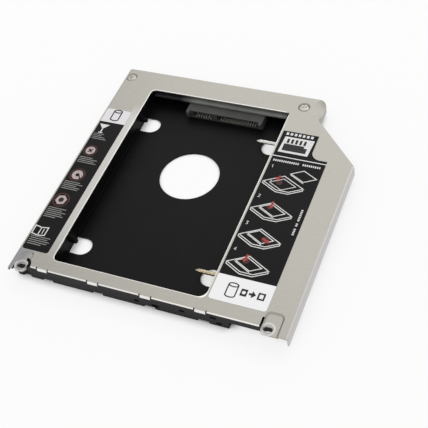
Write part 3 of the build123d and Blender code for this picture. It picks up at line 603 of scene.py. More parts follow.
def piece_from_surface(name: str, points: np.ndarray, faces: Faces, material: Material,
                       smooth_deg: float = 0.0, closed: bool = False) -> bpy.types.Object:
    """Put points and faces into a mesh object at the origin.

    Args:
        name: Name of the piece.
        points: Rows of x, y, z in the frame, in metres.
        faces: Indices of each face's corners.
        material: Material of the whole piece.
        smooth_deg: Edges under this angle are shaded smooth.
        closed: Whether the surface is a closed shell, whose faces are then turned outwards.

    Returns:
        The new object.
    """
    mesh = bpy.data.meshes.new(name)
    mesh.from_pydata(points.tolist(), [], faces)
    work = bmesh.new()
    work.from_mesh(mesh)
    if closed:
        bmesh.ops.recalc_face_normals(work, faces=work.faces)
    for face in work.faces:
        face.smooth = smooth_deg > 0
    for edge in work.edges:
        edge.smooth = len(edge.link_faces) == 2 and edge.calc_face_angle(0.0) < math.radians(smooth_deg)
    work.to_mesh(mesh)
    work.free()
    mesh.materials.append(material)
    piece = bpy.data.objects.new(name, mesh)
    bpy.context.scene.collection.objects.link(piece)
    return piece


def tube_faces(rings: int, sides: int) -> Faces:
    """Faces of a grid of rings closed round each ring and capped by a centre point at both ends.

    Args:
        rings: Number of rings.
        sides: Points on each ring.

    Returns:
        Quads between the rings, then triangles to the two centre points that follow the grid.
    """
    ring, side = np.meshgrid(np.arange(rings - 1), np.arange(sides), indexing="ij")
    after = (side + 1) % sides
    quads = np.stack([ring * sides + side, ring * sides + after,
                      (ring + 1) * sides + after, (ring + 1) * sides + side], axis=-1).reshape(-1, 4)
    around = np.arange(sides)
    beyond = (around + 1) % sides
    last = (rings - 1) * sides
    near = np.stack([np.full(sides, rings * sides), beyond, around], axis=-1)
    far = np.stack([np.full(sides, rings * sides + 1), last + around, last + beyond], axis=-1)
    return [tuple(row) for rows in (quads, near, far) for row in rows.tolist()]


def ellipse(centre: Place, half: Place, turns: np.ndarray) -> np.ndarray:
    """Rows of points of an ellipse at angles t: centre + (half x cos t, half y sin t)."""
    return np.stack([centre[0] + half[0] * np.cos(turns), centre[1] + half[1] * np.sin(turns)], axis=1)


def moved(shape: Outline, place: Place, turn_deg: float = 0.0) -> np.ndarray:
    """Turn a shape counter-clockwise about nought and carry its nought to a place."""
    cos, sin = math.cos(math.radians(turn_deg)), math.sin(math.radians(turn_deg))
    return np.array(shape, float) @ np.array([(cos, sin), (-sin, cos)]) + np.array(place)


@dataclass(frozen=True)
class CrossHeadScrew:
    """A screw as one surface turned about its axis, with a cross recess and a thread.

    The surface is P(s, t) = (h(s), r(s) cos t, r(s) sin t): h is the height along the axis and r
    the radius of the profile. On the head's top, h sinks by the recess's depth where the point
    lies in either arm of the cross. Along the thread, r swells by the ridge's height times a
    triangle wave of (h / pitch - t / full turn), which winds the ridge into a helix.
    """

    head_radius: float
    head_height: float
    dome: float
    shank_radius: float
    shank_length: float
    tip_length: float
    tip_radius: float
    thread: Span
    cross_length: float
    cross_width: float = 0.7
    cross_depth: float = 0.45
    cross_slopes: Place = (0.12, 0.2)
    pitch: float = 0.4
    ridge: float = 0.07
    sides: int = 72
    head_rings: int = 22
    centre_radius: float = 0.04
    rings_per_turn: int = 6

    def profile(self) -> np.ndarray:
        """Radius and height of the profile, from the head's centre to the tip's.

        The crown's height is the head's less the dome times (r / head radius) to the fourth.

        Returns:
            Rows of radius and height.
        """
        top = np.linspace(self.centre_radius, self.head_radius, self.head_rings)
        crown = self.head_height - self.dome * (top / self.head_radius) ** 4
        start, end = self.thread
        steps = max(2, int((end - start) / self.pitch * self.rings_per_turn))
        shank = np.concatenate([[0.0], np.linspace(start, end, steps), [self.shank_length - self.tip_length]])
        rows = [np.stack([top, crown], axis=1),
                np.array([[self.head_radius, 0.0]]),
                np.stack([np.full(len(shank), self.shank_radius), -shank], axis=1),
                np.array([[self.tip_radius, -self.shank_length]])]
        return np.concatenate(rows)

    def surface(self) -> np.ndarray:
        """Lay out the screw along the axis X, its head towards +X and the head's underside at nought.

        Returns:
            Grid of points, ring by ring.
        """
        radius, height = self.profile().T
        turn = np.linspace(0, 2 * np.pi, self.sides, endpoint=False)
        r, t = np.meshgrid(radius, turn, indexing="ij")
        h = np.repeat(height[:, None], self.sides, axis=1)
        y, z = r * np.cos(t), r * np.sin(t)
        across = np.minimum(np.abs(y), np.abs(z))
        along = np.maximum(np.abs(y), np.abs(z))
        side_slope, end_slope = self.cross_slopes
        sunk = np.clip((self.cross_width / 2 - across) / side_slope, 0, 1)
        sunk *= np.clip((self.cross_length / 2 - along) / end_slope, 0, 1)
        crown_edge = self.head_height - self.dome - 1e-6
        h = np.where(h > crown_edge, h - self.cross_depth * sunk, h)
        start, end = self.thread
        threaded = (-h > start) & (-h < end)
        wave = np.abs(2 * ((-h / self.pitch - t / (2 * np.pi)) % 1) - 1)
        r = np.where(threaded, r + self.ridge * (wave - 1), r)
        return np.stack([h, r * np.cos(t), r * np.sin(t)], axis=-1)

    def build(self, name: str, seats: np.ndarray, axes: np.ndarray, material: Material) -> bpy.types.Object:
        """Make one piece of a screw at each seat.

        Args:
            name: Name of the piece.
            seats: Points in the frame, in metres, under each head.
            axes: Rotation matrix from the screw's own axes to the frame.
            material: Material of the screws.

        Returns:
            The piece.
        """
        grid = self.surface()
        caps = np.stack([grid[0].mean(axis=0), grid[-1].mean(axis=0)])
        points = np.concatenate([grid.reshape(-1, 3), caps]) * MM @ axes.T
        faces = tube_faces(len(grid), self.sides)
        every = np.concatenate([points + seat for seat in seats])
        all_faces = [tuple(corner + number * len(points) for corner in face)
                     for number in range(len(seats)) for face in faces]
        return piece_from_surface(name, every, all_faces, material, smooth_deg=35, closed=True)


# Label prints


@dataclass(frozen=True)
class Line:
    """A line of a drawing: its points about the drawing's own nought and its width."""

    points: tuple[Place, ...]
    width: float
    closed: bool = False


@dataclass(frozen=True)
class BoxRow:
    """A row of equal upright boxes, from the low left corner of the first."""

    corner: Place
    size: Place
    pitch: float = 0.0
    count: int = 1


@dataclass
class LabelPrint:
    """Flat artwork just above a label: patches of ink, gathered by ink."""

    height: float
    layer: float = 0.01
    patches: dict[Ink, list[tuple[np.ndarray, Faces]]] = field(default_factory=dict)

    def patch(self, ink: Ink, points: np.ndarray, faces: Faces) -> None:
        """Keep one patch of ink."""
        self.patches.setdefault(ink, []).append((np.asarray(points, float), faces))

    def fill(self, ink: Ink, corners: Outline) -> None:
        """Fill a polygon, turned counter-clockwise by the sign of its area.

        Args:
            ink: Ink of the polygon.
            corners: Its corners in order.
        """
        outline = np.array(corners, float)
        x, y = outline.T
        area = np.sum(x * np.roll(y, -1) - np.roll(x, -1) * y)
        self.patch(ink, outline if area > 0 else outline[::-1], [tuple(range(len(outline)))])

    def boxes(self, ink: Ink, place: Place, row: BoxRow) -> None:
        """Fill a row of boxes.

        Args:
            ink: Ink of the boxes.
            place: Nought of the row.
            row: The row's sizes.
        """
        wide, tall = row.size
        for number in range(row.count):
            x, y = place[0] + row.corner[0] + number * row.pitch, place[1] + row.corner[1]
            self.fill(ink, ((x, y), (x + wide, y), (x + wide, y + tall), (x, y + tall)))

    def stroke(self, ink: Ink, path: Outline, width: float, closed: bool = False) -> None:
        """Draw a line of even width.

        Each point moves sideways by half the width along the mitre of its two segments, which is
        the sum of their normals divided by one plus their product.

        Args:
            ink: Ink of the line.
            path: Points of the line.
            width: Its width.
            closed: Whether the last point joins the first.
        """
        line = np.array(path, float)
        ahead = np.roll(line, -1, axis=0) - line
        if not closed:
            ahead[-1] = ahead[-2]
        ahead /= np.linalg.norm(ahead, axis=1, keepdims=True)
        behind = np.roll(ahead, 1, axis=0)
        if not closed:
            behind[0] = ahead[0]
        normal = np.stack([-ahead[:, 1], ahead[:, 0]], axis=1)
        before = np.stack([-behind[:, 1], behind[:, 0]], axis=1)
        sharpest = -0.6
        turned = np.clip(np.sum(normal * before, axis=1, keepdims=True), sharpest, 1)
        side = (normal + before) / (1 + turned) * width / 2
        count = len(line)
        faces = [(at, (at + 1) % count, (at + 1) % count + count, at + count)
                 for at in range(count if closed else count - 1)]
        self.patch(ink, np.concatenate([line - side, line + side]), faces)

    def lines(self, ink: Ink, place: Place, lines: tuple[Line, ...], scale: float = 1.0) -> None:
        """Draw the lines of a small drawing about a place, enlarged by a scale."""
        for line in lines:
            self.stroke(ink, moved(np.array(line.points) * scale, place), line.width * scale, line.closed)

    def dashes(self, ink: Ink, starts: np.ndarray, reaches: np.ndarray, width: float) -> None:
        """Draw a straight line from each start by its reach."""
        for start, reach in zip(starts, reaches):
            self.stroke(ink, (start, start + reach), width)

    def ring(self, ink: Ink, centre: Place, inner: float, outer: float, sides: int = 40) -> None:
        """Draw a ring as a grid of angle and radius.

        Args:
            ink: Ink of the ring.
            centre: Its centre.
            inner: Inner radius, 0 for a disc.
            outer: Outer radius.
            sides: Steps round the ring.
        """
        turns = np.radians(np.linspace(0.0, 360.0, sides + 1))
        least = 0.001
        points = np.concatenate([ellipse(centre, (radius, radius), turns) for radius in (max(inner, least), outer)])
        count = sides + 1
        self.patch(ink, points, [(at, at + count, at + count + 1, at + 1) for at in range(sides)])

    def drum(self, ink: Ink, centre: Place, size: Place, width: float) -> None:
        """Draw the outline of an upright drum, the usual sign for a disk.

        Its lid is an ellipse, and its foot is the lower half of the same ellipse.

        Args:
            ink: Ink of the lines.
            centre: Middle of the drum.
            size: Its width and height.
            width: Width of the lines.
        """
        lid_share, lid_steps = 0.42, 32
        half, tall = size[0] / 2, size[1] / 2
        lid = half * lid_share
        top = (centre[0], centre[1] + tall - lid)
        foot = (centre[0], centre[1] - tall + lid)
        around = np.linspace(0, 2 * np.pi, lid_steps, endpoint=False)
        below = np.linspace(np.pi, 2 * np.pi, lid_steps // 2 + 1)
        self.stroke(ink, ellipse(top, (half, lid), around), width, closed=True)
        left, right = moved(((-half, 0.0), (half, 0.0)), top)
        self.stroke(ink, np.vstack([left, ellipse(foot, (half, lid), below), right]), width)

    def build(self, label: str, datum: Datum, finishes: dict[Ink, Material]) -> list[str]:
        """Make one flat piece for each ink, a later ink a little higher, so that no two share a plane.

        Args:
            label: The label's side.
            datum: Place of the drawing in the frame.
            finishes: Material of each ink.

        Returns:
            Names of the pieces made.
        """
        names, slot = [], f"{label}_print"
        for ink, patches in self.patches.items():
            level = self.height + self.layer * list(Ink).index(ink)
            start, points, faces = 0, [], []
            for outline, shapes in patches:
                points.append(np.column_stack([outline, np.full(len(outline), level)]))
                faces += [tuple(corner + start for corner in shape) for shape in shapes]
                start += len(outline)
            name = f"{label}_label_{ink.name.lower()}_print"
            piece = piece_from_surface(name, datum.to_frame(np.concatenate(points)), faces, finishes[ink])
            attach(piece, "caddy")
            names.append(name)
        return names


@dataclass(frozen=True)
class Sign:
    """A round sign in a halo: its place, the halo's radius, and its marks as shares of the sign's."""

    place: Place
    radius: float
    hole: float = 0.0
    corners: int = 0
    marks: tuple[Line, ...] = ()
    disc: float = 0.0


# Reach along each axis of a slanted cross whose arms are 0.6 of the sign's radius
CROSS = 0.6 * math.sqrt(0.5)


@dataclass
class LeftLabel:
    """Narrow label on the left: a disk sign on white above, pictograms and ruled lines on black."""

    surface: float = 9.61
    white_from: float = 87.4
    drum_place: Place = (7.8, 92.7)
    drum_size: Place = (4.1, 7.0)
    drum_line: float = 0.6
    arrow_place: Place = (4.9, 83.2)
    arrow_head: tuple[Place, ...] = ((-2.7, 2.7), (2.7, 2.7), (0.45, 0.1), (-0.45, 0.1))
    arrow_lines: tuple[Line, ...] = (Line(((0.0, 0.2), (0.0, -2.6)), 0.6), Line(((-1.2, -2.8), (1.2, -2.8)), 0.45))
    # A cross-head screw from above, a disk's platter with its arm, and a nut
    signs: tuple[Sign, ...] = (
        Sign((5.6, 68.4), 3.4, marks=(Line(((-CROSS, -CROSS), (CROSS, CROSS)), 0.3),
                                      Line(((CROSS, -CROSS), (-CROSS, CROSS)), 0.3))),
        Sign((6.5, 52.9), 3.9, hole=0.35, marks=(Line(((0.9, -0.9), (0.2, 0.1)), 0.22),)),
        Sign((6.0, 37.3), 4.1, corners=6, disc=0.45))
    sign_share: float = 0.7
    halo_share: float = 0.84
    first_corner_deg: float = 15.0
    book_place: Place = (5.0, 19.0)
    book_lines: tuple[Line, ...] = (
        Line(((-3.2, -2.2), (-3.2, 2.2), (0.0, 1.6), (3.2, 2.2), (3.2, -2.2), (0.0, -2.8)), 0.5, True),
        Line(((0.0, 1.6), (0.0, -2.8)), 0.45),
        Line(((1.6, 1.0), (1.6, -1.6)), 0.4))
    text_left: float = 2.2
    text_pitch: float = 1.05
    text_line: float = 0.42
    text_blocks: tuple[tuple[float, tuple[float, ...]], ...] = (
        (79.4, (5.2, 4.4, 6.4, 7.6)),
        (63.9, (6.8, 9.6, 8.4, 9.9)),
        (48.3, (8.0, 9.8, 7.0, 9.2, 8.6)),
        (32.3, (9.0, 7.4, 9.8, 8.2, 9.4, 6.0)),
        (15.6, (9.8, 8.8, 10.2, 9.4, 7.0)))

    def draw_sign(self, art: LabelPrint, sign: Sign) -> None:
        """Draw one round sign in its halo.

        Args:
            art: The label's artwork.
            sign: The sign.
        """
        size = sign.radius * self.sign_share
        art.ring(Ink.DIM_RED, sign.place, sign.radius * self.halo_share, sign.radius)
        if sign.corners:
            turns = np.radians(360.0 / sign.corners * np.arange(sign.corners) + self.first_corner_deg)
            art.fill(Ink.BLUSH, ellipse(sign.place, (size, size), turns))
        else:
            art.ring(Ink.BLUSH, sign.place, size * sign.hole, size)
        art.lines(Ink.DARK, sign.place, sign.marks, size)
        if sign.disc:
            art.ring(Ink.DARK, sign.place, 0, size * sign.disc)

    def build(self, datum: Datum, finishes: dict[Ink, Material]) -> list[str]:
        """Draw the label's artwork.

        Args:
            datum: Place of the drawing in the frame.
            finishes: Material of each ink.

        Returns:
            Names of the pieces made.
        """
        art = LabelPrint(self.surface)
        art.drum(Ink.DARK, self.drum_place, self.drum_size, self.drum_line)
        art.fill(Ink.WHITE, moved(self.arrow_head, self.arrow_place))
        art.lines(Ink.WHITE, self.arrow_place, self.arrow_lines)
        for sign in self.signs:
            self.draw_sign(art, sign)
        art.lines(Ink.WHITE, self.book_place, self.book_lines)
        for top, lengths in self.text_blocks:
            below = np.outer(np.arange(len(lengths)), (0.0, -self.text_pitch))
            art.dashes(Ink.GREY, moved(below, (self.text_left, top)), np.outer(lengths, (1.0, 0.0)), self.text_line)
        return art.build("left", datum, finishes)


@dataclass(frozen=True)
class FittingStep:
    """One numbered drawing of how the drive goes into the caddy.

    The drive's place and size and the glow's place are shares of the drawn caddy's two edges.
    """

    digit: tuple[Place, ...]
    digit_y: float
    corner_y: float
    glow: Place
    arrow_tip: Place
    arrow_turn_deg: float
    arrow_length: float = 4.0
    drive_place: Place = (0.34, 0.06)
    drive_size: Place = (0.54, 0.72)
    window: bool = False


FITTING_STEPS = (
    FittingStep(((0.1, 1.2), (0.5, 1.6), (0.5, 0.0)), 79.4, 71.0, (0.5, 0.3), (97.0, 72.4), -112.0,
                3.4, (1.34, -0.06), (0.62, 0.66), window=True),
    FittingStep(((0.0, 1.4), (0.4, 1.6), (0.9, 1.3), (0.8, 0.9), (0.0, 0.0), (0.95, 0.0)), 61.8, 55.3,
                (0.7, 0.18), (99.8, 56.8), -92.0),
    FittingStep(((0.0, 1.6), (0.9, 1.6), (0.4, 0.95), (0.9, 0.5), (0.5, 0.0), (0.0, 0.15)), 46.2, 40.4,
                (0.62, 0.62), (105.6, 38.9), -28.0),
    FittingStep(((0.7, 0.0), (0.7, 1.6), (0.0, 0.5), (1.0, 0.5)), 32.0, 25.8, (0.68, 0.2), (98.4, 27.2), -100.0),
)


@dataclass
class RightLabel:
    """Wide label on the right: a plug sign on top, four numbered fitting steps and a disk sign."""

    surface: float = 9.61
    bar_from: float = 85.95
    bar_to: float = 86.65
    white_to: float = 19.2
    steps: tuple[FittingStep, ...] = FITTING_STEPS
    digit_x: float = 92.3
    corner_x: float = 91.6
    slanted_edges: tuple[Place, Place] = ((8.4, 4.8), (10.2, -5.2))
    plate_outline: tuple[Place, ...] = ((0.0, 0.0), (1.0, 0.0), (1.0, 1.0), (0.32, 1.0), (0.0, 0.7))
    plate_edge: tuple[Place, ...] = ((0.0, 0.0), (0.0, 0.7), (0.32, 1.0), (1.0, 1.0))
    plate_window: tuple[Place, ...] = ((0.16, 0.16), (0.84, 0.16), (0.84, 0.78), (0.16, 0.78))
    plate_thickness: float = 1.1
    peg_place: Place = (0.3, 0.08)
    peg_radius: float = 0.3
    drive_thickness: float = 0.6
    line: float = 0.42
    fine_line: float = 0.336
    digit_line: float = 0.26
    glow_radius: float = 1.5
    glow_sides: int = 20
    arrow_head: Place = (1.7, 1.35)
    arrow_stem: float = 0.5
    dash: float = 0.6
    dash_pitch: float = 0.95
    title_place: Place = (91.4, 84.0)
    title_spans: tuple[Span, ...] = ((0.4, 12.4), (14.2, 22.6))
    title_line: float = 1.1
    margin_place: Place = (113.6, 0.0)
    margin_spans: tuple[Span, ...] = ((45.6, 49.0), (50.4, 51.6), (53.2, 59.4))
    margin_line: float = 0.9
    panel_place: Place = (92.0, 89.2)
    panel: tuple[Place, ...] = ((0.0, 0.0), (14.0, 0.0), (14.6, 9.7), (0.6, 9.7))
    plug: tuple[Place, ...] = ((1.4, 1.2), (12.6, 1.2), (12.6, 4.3), (11.0, 4.3), (11.0, 5.4), (1.4, 5.4))
    plug_pins: BoxRow = BoxRow((2.2, 5.9), (1.1, 2.7), 2.0, 5)
    upper_pins: BoxRow = BoxRow((0.5, 10.8), (1.2, 1.5), 1.95, 7)
    drum_place: Place = (98.8, 12.8)
    drum_size: Place = (4.2, 6.9)
    drum_line: float = 0.5
    sign_place: Place = (104.0, 12.9)
    sign_drive: BoxRow = BoxRow((-1.4, -1.7), (2.8, 3.4))
    sign_hole: float = 0.8
    sign_arrow: tuple[Place, ...] = (
        (2.2, -0.5), (3.4, -0.5), (3.4, -1.7), (5.2, 0.0), (3.4, 1.7), (3.4, 0.5), (2.2, 0.5))
    sign_frame: Line = Line(((6.3, -1.35), (8.7, -1.35), (8.7, 1.35), (6.3, 1.35)), 0.7, True)

    def on_step(self, step: FittingStep, shares: Outline, up: float = 0.0) -> np.ndarray:
        """Place points on the drawn caddy: corner + rear share * rear edge + right share * right edge."""
        return moved(np.array(shares) @ np.array(self.slanted_edges), (self.corner_x, step.corner_y + up))

    def fitting_step(self, art: LabelPrint, step: FittingStep) -> None:
        """Draw a step's caddy in slanted view, its drive, its glow and its arrow.

        Args:
            art: The label's artwork.
            step: The fitting step.
        """
        art.stroke(Ink.WHITE, self.on_step(step, self.plate_outline), self.line, closed=True)
        ends = self.on_step(step, (self.plate_edge[0], self.plate_edge[-1]))
        below = self.on_step(step, self.plate_edge, -self.plate_thickness)
        art.stroke(Ink.WHITE, np.vstack([ends[0], below, ends[1]]), self.line)
        if step.window:
            art.stroke(Ink.WHITE, self.on_step(step, self.plate_window), self.fine_line, closed=True)
        art.ring(Ink.WHITE, self.on_step(step, self.peg_place), 0, self.peg_radius)
        (rear, right), (deep, wide) = step.drive_place, step.drive_size
        top = self.on_step(step, ((rear, right), (rear + deep, right), (rear + deep, right + wide),
                                  (rear, right + wide)))
        art.stroke(Ink.WHITE, top, self.line, closed=True)
        front = top[[0, 3]]
        lower = front - np.array([0.0, self.drive_thickness])
        art.stroke(Ink.WHITE, np.vstack([front[0], lower, front[1]]), self.fine_line)
        art.ring(Ink.DIM_RED, self.on_step(step, step.glow), 0, self.glow_radius, self.glow_sides)
        (back, half), stem, end = self.arrow_head, self.arrow_stem, step.arrow_length
        arrow = ((0.0, 0.0), (-back, half), (-back, stem), (-end, stem), (-end, -stem), (-back, -stem), (-back, -half))
        art.fill(Ink.RED, moved(arrow, step.arrow_tip, step.arrow_turn_deg))

    def row_of_print(self, art: LabelPrint, place: Place, spans: tuple[Span, ...], along: Place, width: float) -> None:
        """Draw short dashes where a row of print stands.

        Args:
            art: The label's artwork.
            place: Start of the row.
            spans: Where its words lie along the row.
            along: Direction of the row.
            width: Width of the dashes.
        """
        for span in spans:
            starts = np.outer(np.arange(*span, self.dash_pitch), along)
            art.dashes(Ink.WHITE, moved(starts, place), np.full_like(starts, self.dash) * along, width)

    def build(self, datum: Datum, finishes: dict[Ink, Material]) -> list[str]:
        """Draw the label's artwork: the plug, the disk sign, the rows of print and the steps.

        Args:
            datum: Place of the drawing in the frame.
            finishes: Material of each ink.

        Returns:
            Names of the pieces made.
        """
        art = LabelPrint(self.surface)
        art.fill(Ink.WHITE, moved(self.panel, self.panel_place))
        art.fill(Ink.DARK, moved(self.plug, self.panel_place))
        art.boxes(Ink.DARK, self.panel_place, self.plug_pins)
        art.boxes(Ink.WHITE, self.panel_place, self.upper_pins)
        art.drum(Ink.DARK, self.drum_place, self.drum_size, self.drum_line)
        art.boxes(Ink.DARK, self.sign_place, self.sign_drive)
        art.ring(Ink.PAPER, self.sign_place, 0, self.sign_hole)
        art.fill(Ink.DARK, moved(self.sign_arrow, self.sign_place))
        art.lines(Ink.DARK, self.sign_place, (self.sign_frame,))
        self.row_of_print(art, self.title_place, self.title_spans, (1.0, 0.0), self.title_line)
        self.row_of_print(art, self.margin_place, self.margin_spans, (0.0, 1.0), self.margin_line)
        for step in self.steps:
            art.stroke(Ink.WHITE, moved(step.digit, (self.digit_x, step.digit_y)), self.digit_line)
            self.fitting_step(art, step)
        return art.build("right", datum, finishes)


# Screws


@dataclass
class CoverScrews:
    """The two pan-head screws in the cover's dimples."""

    node: str = "cover_screws"
    head_radius: float = 2.2
    seat_below_top: float = 0.7
    cover_height: float = 9.5
    cross_turn_deg: float = 20.0
    plating: Plating = Plating.DULL_NICKEL
    shape: CrossHeadScrew = CrossHeadScrew(
        head_radius=2.2, head_height=0.62, dome=0.4, shank_radius=0.93, shank_length=5.0, tip_length=0.4,
        tip_radius=0.55, thread=(0.5, 4.5), cross_length=2.8, cross_width=0.75, cross_depth=0.42)

    def build(self, datum: Datum) -> list[str]:
        """Place a screw at the outer ends of the node's box, where its two solids are.

        Args:
            datum: Place of the drawing in the frame.

        Returns:
            Names of the pieces made.
        """
        low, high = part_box(self.node)
        reach = self.head_radius * MM
        z = datum.underside + (self.cover_height - self.seat_below_top) * MM
        seats = np.array([(low.x + reach, high.y - reach, z), (high.x - reach, low.y + reach, z)])
        turn = math.radians(self.cross_turn_deg)
        upright = np.array([(0, math.cos(turn), -math.sin(turn)), (0, math.sin(turn), math.cos(turn)), (1, 0, 0)])
        piece = self.shape.build("cover_screw_pair", seats, upright, self.plating.finish().build(datum))
        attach(piece, "caddy")
        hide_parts(self.node)
        return [piece.name]


@dataclass
class RetainingScrew:
    """A pointed screw that holds the drive from the right."""

    node: str
    body: str
    slot: str
    plating: Plating
    head_height: float = 1.4
    shape: CrossHeadScrew = CrossHeadScrew(
        head_radius=1.8, head_height=1.4, dome=0.3, shank_radius=1.0, shank_length=22.7, tip_length=1.6,
        tip_radius=0.25, thread=(0.4, 18.2), cross_length=2.2, ridge=0.05)

    def build(self, datum: Datum) -> list[str]:
        """Lay the screw along the middle of the node's box, with its head at the right end.

        Args:
            datum: Place of the drawing in the frame.

        Returns:
            Names of the pieces made.
        """
        low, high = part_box(self.node)
        seat = np.array([high.x - self.head_height * MM, (low.y + high.y) / 2, (low.z + high.z) / 2])
        material = self.plating.finish().build(datum)
        piece = self.shape.build(f"{self.node}_threaded", seat[None, :], np.eye(3), material)
        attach(piece, self.body)
        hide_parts(self.node)
        return [piece.name]


# Casing and electrics, which keep their CAD shape


@dataclass
class DressedNodes:
    """CAD nodes whose shape is right, each with its finish."""

    finishes: dict[str, Finish]

    def build(self, nodes: dict[str, bpy.types.Object], datum: Datum) -> list[str]:
        """Give every node its material.

        Args:
            nodes: Objects of the frame by name.
            datum: Place of the drawing in the frame.

        Returns:
            Names of the dressed nodes.
        """
        made: dict[str, Material] = {}
        for name, finish in self.finishes.items():
            if finish.name not in made:
                made[finish.name] = finish.build(datum)
            mesh = nodes[name].data
            mesh.materials.clear()
            mesh.materials.append(made[finish.name])
        return list(self.finishes)


def casing_finishes() -> dict[str, Finish]:
    """Choose the finish of every CAD node that stays.

    Returns:
        Finish by node name.
    """
    left, right = LeftLabel(), RightLabel()
    # The left label's white is painted greyer than the right label's: painted shade
    black, white, shaded = "#0e0d0d", "#ececed", "#dcdadc"
    resin = MouldedPlastic("connector_resin", "#3a3939", "#434241", 0.45, 0.25)
    gold, sheen_gold = Plating.GOLD_FLASH.finish(), Plating.PAINTED_SHEEN_GOLD_FLASH.finish()
    tin, brass = Plating.TINNED_CLIP.finish(), Plating.TURNED_BRASS.finish()
    return {
        "top_cover": SatinAluminium("satin_aluminium"),
        # Painted sheen: the rail's front face is painted lighter where it catches the light
        "base_tray": MouldedPlastic(
            "moulded_black", "#080809", "#0b0b0c", roughness=0.5, specular=0.12,
            painted_light_tone="#242325", painted_light_y=Band(-48.8, 1.2, 0.2)),
        # The board's left end lies in the dark under the cover
        "adapter_board": MouldedPlastic(
            "solder_mask", "#767773", "#82837e", roughness=0.35, specular=0.5, grain_mm=0.5,
            grain_depth_mm=0.004, painted_light_tone="#232225", painted_light_x=Band(-13.0, 37.0, 4.0)),
        "board_screws": Plating.NICKEL_PLATE.finish(),
        "drive_connector_housing": resin,
        "host_connector_housing": resin,
        # The drive connector's contacts get the pale gold flash, whose paleness is painted sheen
        "data_contacts": sheen_gold,
        "power_contacts": sheen_gold,
        "host_data_contacts": gold,
        "host_power_contacts": gold,
        "drive_connector_hold_downs": tin,
        "host_connector_hold_downs": tin,
        "retaining_nut_front": brass,
        "retaining_nut_rear": brass,
        "board_capacitors": GlazedChip("capacitor_body", "#7a5b3a", "#94714c", 0.4),
        "board_resistors": GlazedChip("resistor_glaze", "#141416", "#202022", 0.25),
        "left_label": PrintedFilm("left_label_film", ((0.0, black), (left.white_from, shaded))),
        "right_label": PrintedFilm("right_label_film", (
            (0.0, white), (right.white_to, black), (right.bar_from, white), (right.bar_to, black))),
    }


# Studio


@dataclass
class Floor:
    """Plain white table top that keeps the object's shadow and fades to white a little way off."""

    half_size: float = 3000.0
    drop: float = 0.05
    colour: str = "#f4f4f3"
    roughness: float = 0.6
    contact: float = 5.0
    openness: Span = (0.45, 0.9)
    glow: Span = (0.0, 0.8)
    samples: int = 16

    def material(self, datum: Datum) -> Material:
        """Mix a diffuse white with plain white for rays that show the background.

        The plain white's share grows with the openness of the place, so the contact shadow stays.

        Args:
            datum: Place of the drawing in the frame.

        Returns:
            The floor's material.
        """
        material = bpy.data.materials.new("white_table")
        shades = Shading.of(material, datum)
        matt = shades.add("ShaderNodeBsdfDiffuse", {
            "Color": linear(self.colour), "Roughness": self.roughness})
        plain = shades.add("ShaderNodeEmission", {"Color": WHITE_LIGHT, "Strength": 1.0})
        near = shades.add("ShaderNodeAmbientOcclusion", {"Distance": self.contact * MM}, samples=self.samples)
        glow = shades.remap(near["AO"], self.openness, self.glow)
        mixed = shades.add("ShaderNodeMixShader", {
            0: shades.product(shades.seen_directly(), glow), 1: matt["BSDF"], 2: plain["Emission"]})
        shades.add("ShaderNodeOutputMaterial", {"Surface": mixed["Shader"]})
        return material

    def build(self, datum: Datum) -> None:
        """Lay the floor just under the tray.

        Args:
            datum: Place of the drawing in the frame.
        """
        half = self.half_size * MM
        z = datum.underside - self.drop * MM
        corners = np.array([(-half, -half, z), (half, -half, z), (half, half, z), (-half, half, z)])
        piece_from_surface("table_top", corners, [(0, 1, 2, 3)], self.material(datum))


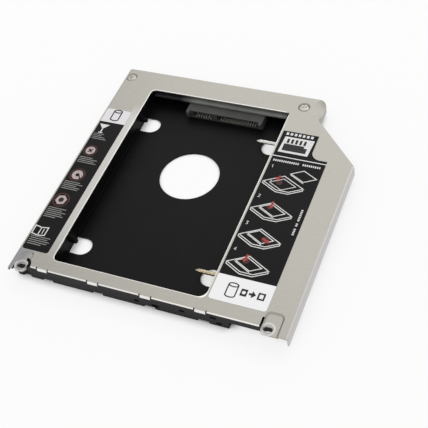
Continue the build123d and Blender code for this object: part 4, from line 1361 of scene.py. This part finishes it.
@dataclass
class Studio:
    """White floor, even surrounding light, a square soft box behind and the camera."""

    surround: float = 0.9
    lamp_place: Point = (100.0, 820.0, 560.0)
    lamp_size: float = 1450.0
    lamp_power: float = 4.0
    camera_place: Point = (143.743, -225.395, 306.871)
    camera_turn_deg: Point = (39.1454, 8.3426, 21.5957)
    lens: float = 75.303
    sensor: float = 36.0
    clip_m: Span = (0.01, 20.0)

    def world(self, datum: Datum) -> None:
        """Surround the object with soft white light, plain white where it is seen.

        Args:
            datum: Place of the drawing in the frame.
        """
        world = bpy.data.worlds.new("soft_surround")
        shades = Shading.of(world, datum)
        strength = shades.remap(shades.seen_directly(), (0.0, 1.0), (self.surround, 1.0))
        light = shades.add("ShaderNodeBackground", {"Color": WHITE_LIGHT, "Strength": strength})
        shades.add("ShaderNodeOutputWorld", {"Surface": light["Background"]})
        bpy.context.scene.world = world

    def lamp(self) -> None:
        """Hang the soft box, turned towards the origin."""
        light = bpy.data.lights.new("rear_soft_box", "AREA")
        light.shape = "SQUARE"
        light.size = self.lamp_size * MM
        light.energy = self.lamp_power
        lamp = bpy.data.objects.new("rear_soft_box", light)
        x, y, z = np.array(self.lamp_place) * MM
        lamp.location = (x, y, z)
        lamp.rotation_euler = (math.atan2(math.hypot(x, y), z), 0.0, math.atan2(x, -y))
        bpy.context.scene.collection.objects.link(lamp)

    def camera(self) -> None:
        """Place the camera where the photograph was taken from."""
        data = bpy.data.cameras.new("camera")
        data.lens = self.lens
        data.sensor_width = self.sensor
        data.clip_start, data.clip_end = self.clip_m
        camera = bpy.data.objects.new("camera", data)
        camera.location = [part * MM for part in self.camera_place]
        camera.rotation_euler = [math.radians(part) for part in self.camera_turn_deg]
        bpy.context.scene.collection.objects.link(camera)
        bpy.context.scene.camera = camera

    def build(self, datum: Datum) -> None:
        """Set up the studio.

        Args:
            datum: Place of the drawing in the frame.
        """
        bpy.context.scene.view_settings.view_transform = "Standard"
        self.world(datum)
        Floor().build(datum)
        self.lamp()
        self.camera()


def main() -> None:
    """Build the scene in order."""
    logging.basicConfig(level=logging.INFO, format="%(name)s: %(message)s")
    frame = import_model()
    datum = Datum.from_frame()
    Studio().build(datum)
    for name in DressedNodes(casing_finishes()).build(frame["nodes"], datum):
        LOG.info("dressed %s", name)
    inks = {ink: ink.finish().build(datum) for ink in Ink}
    made = LeftLabel().build(datum, inks) + RightLabel().build(datum, inks)
    made += CoverScrews().build(datum)
    made += RetainingScrew("retaining_screw_front", "front_screw", "front_pin", Plating.YELLOW_PASSIVATE).build(datum)
    made += RetainingScrew("retaining_screw_rear", "rear_screw", "rear_pin", Plating.BRIGHT_NICKEL).build(datum)
    for name in made:
        LOG.info("built %s", name)


if __name__ == "__main__":
    main()
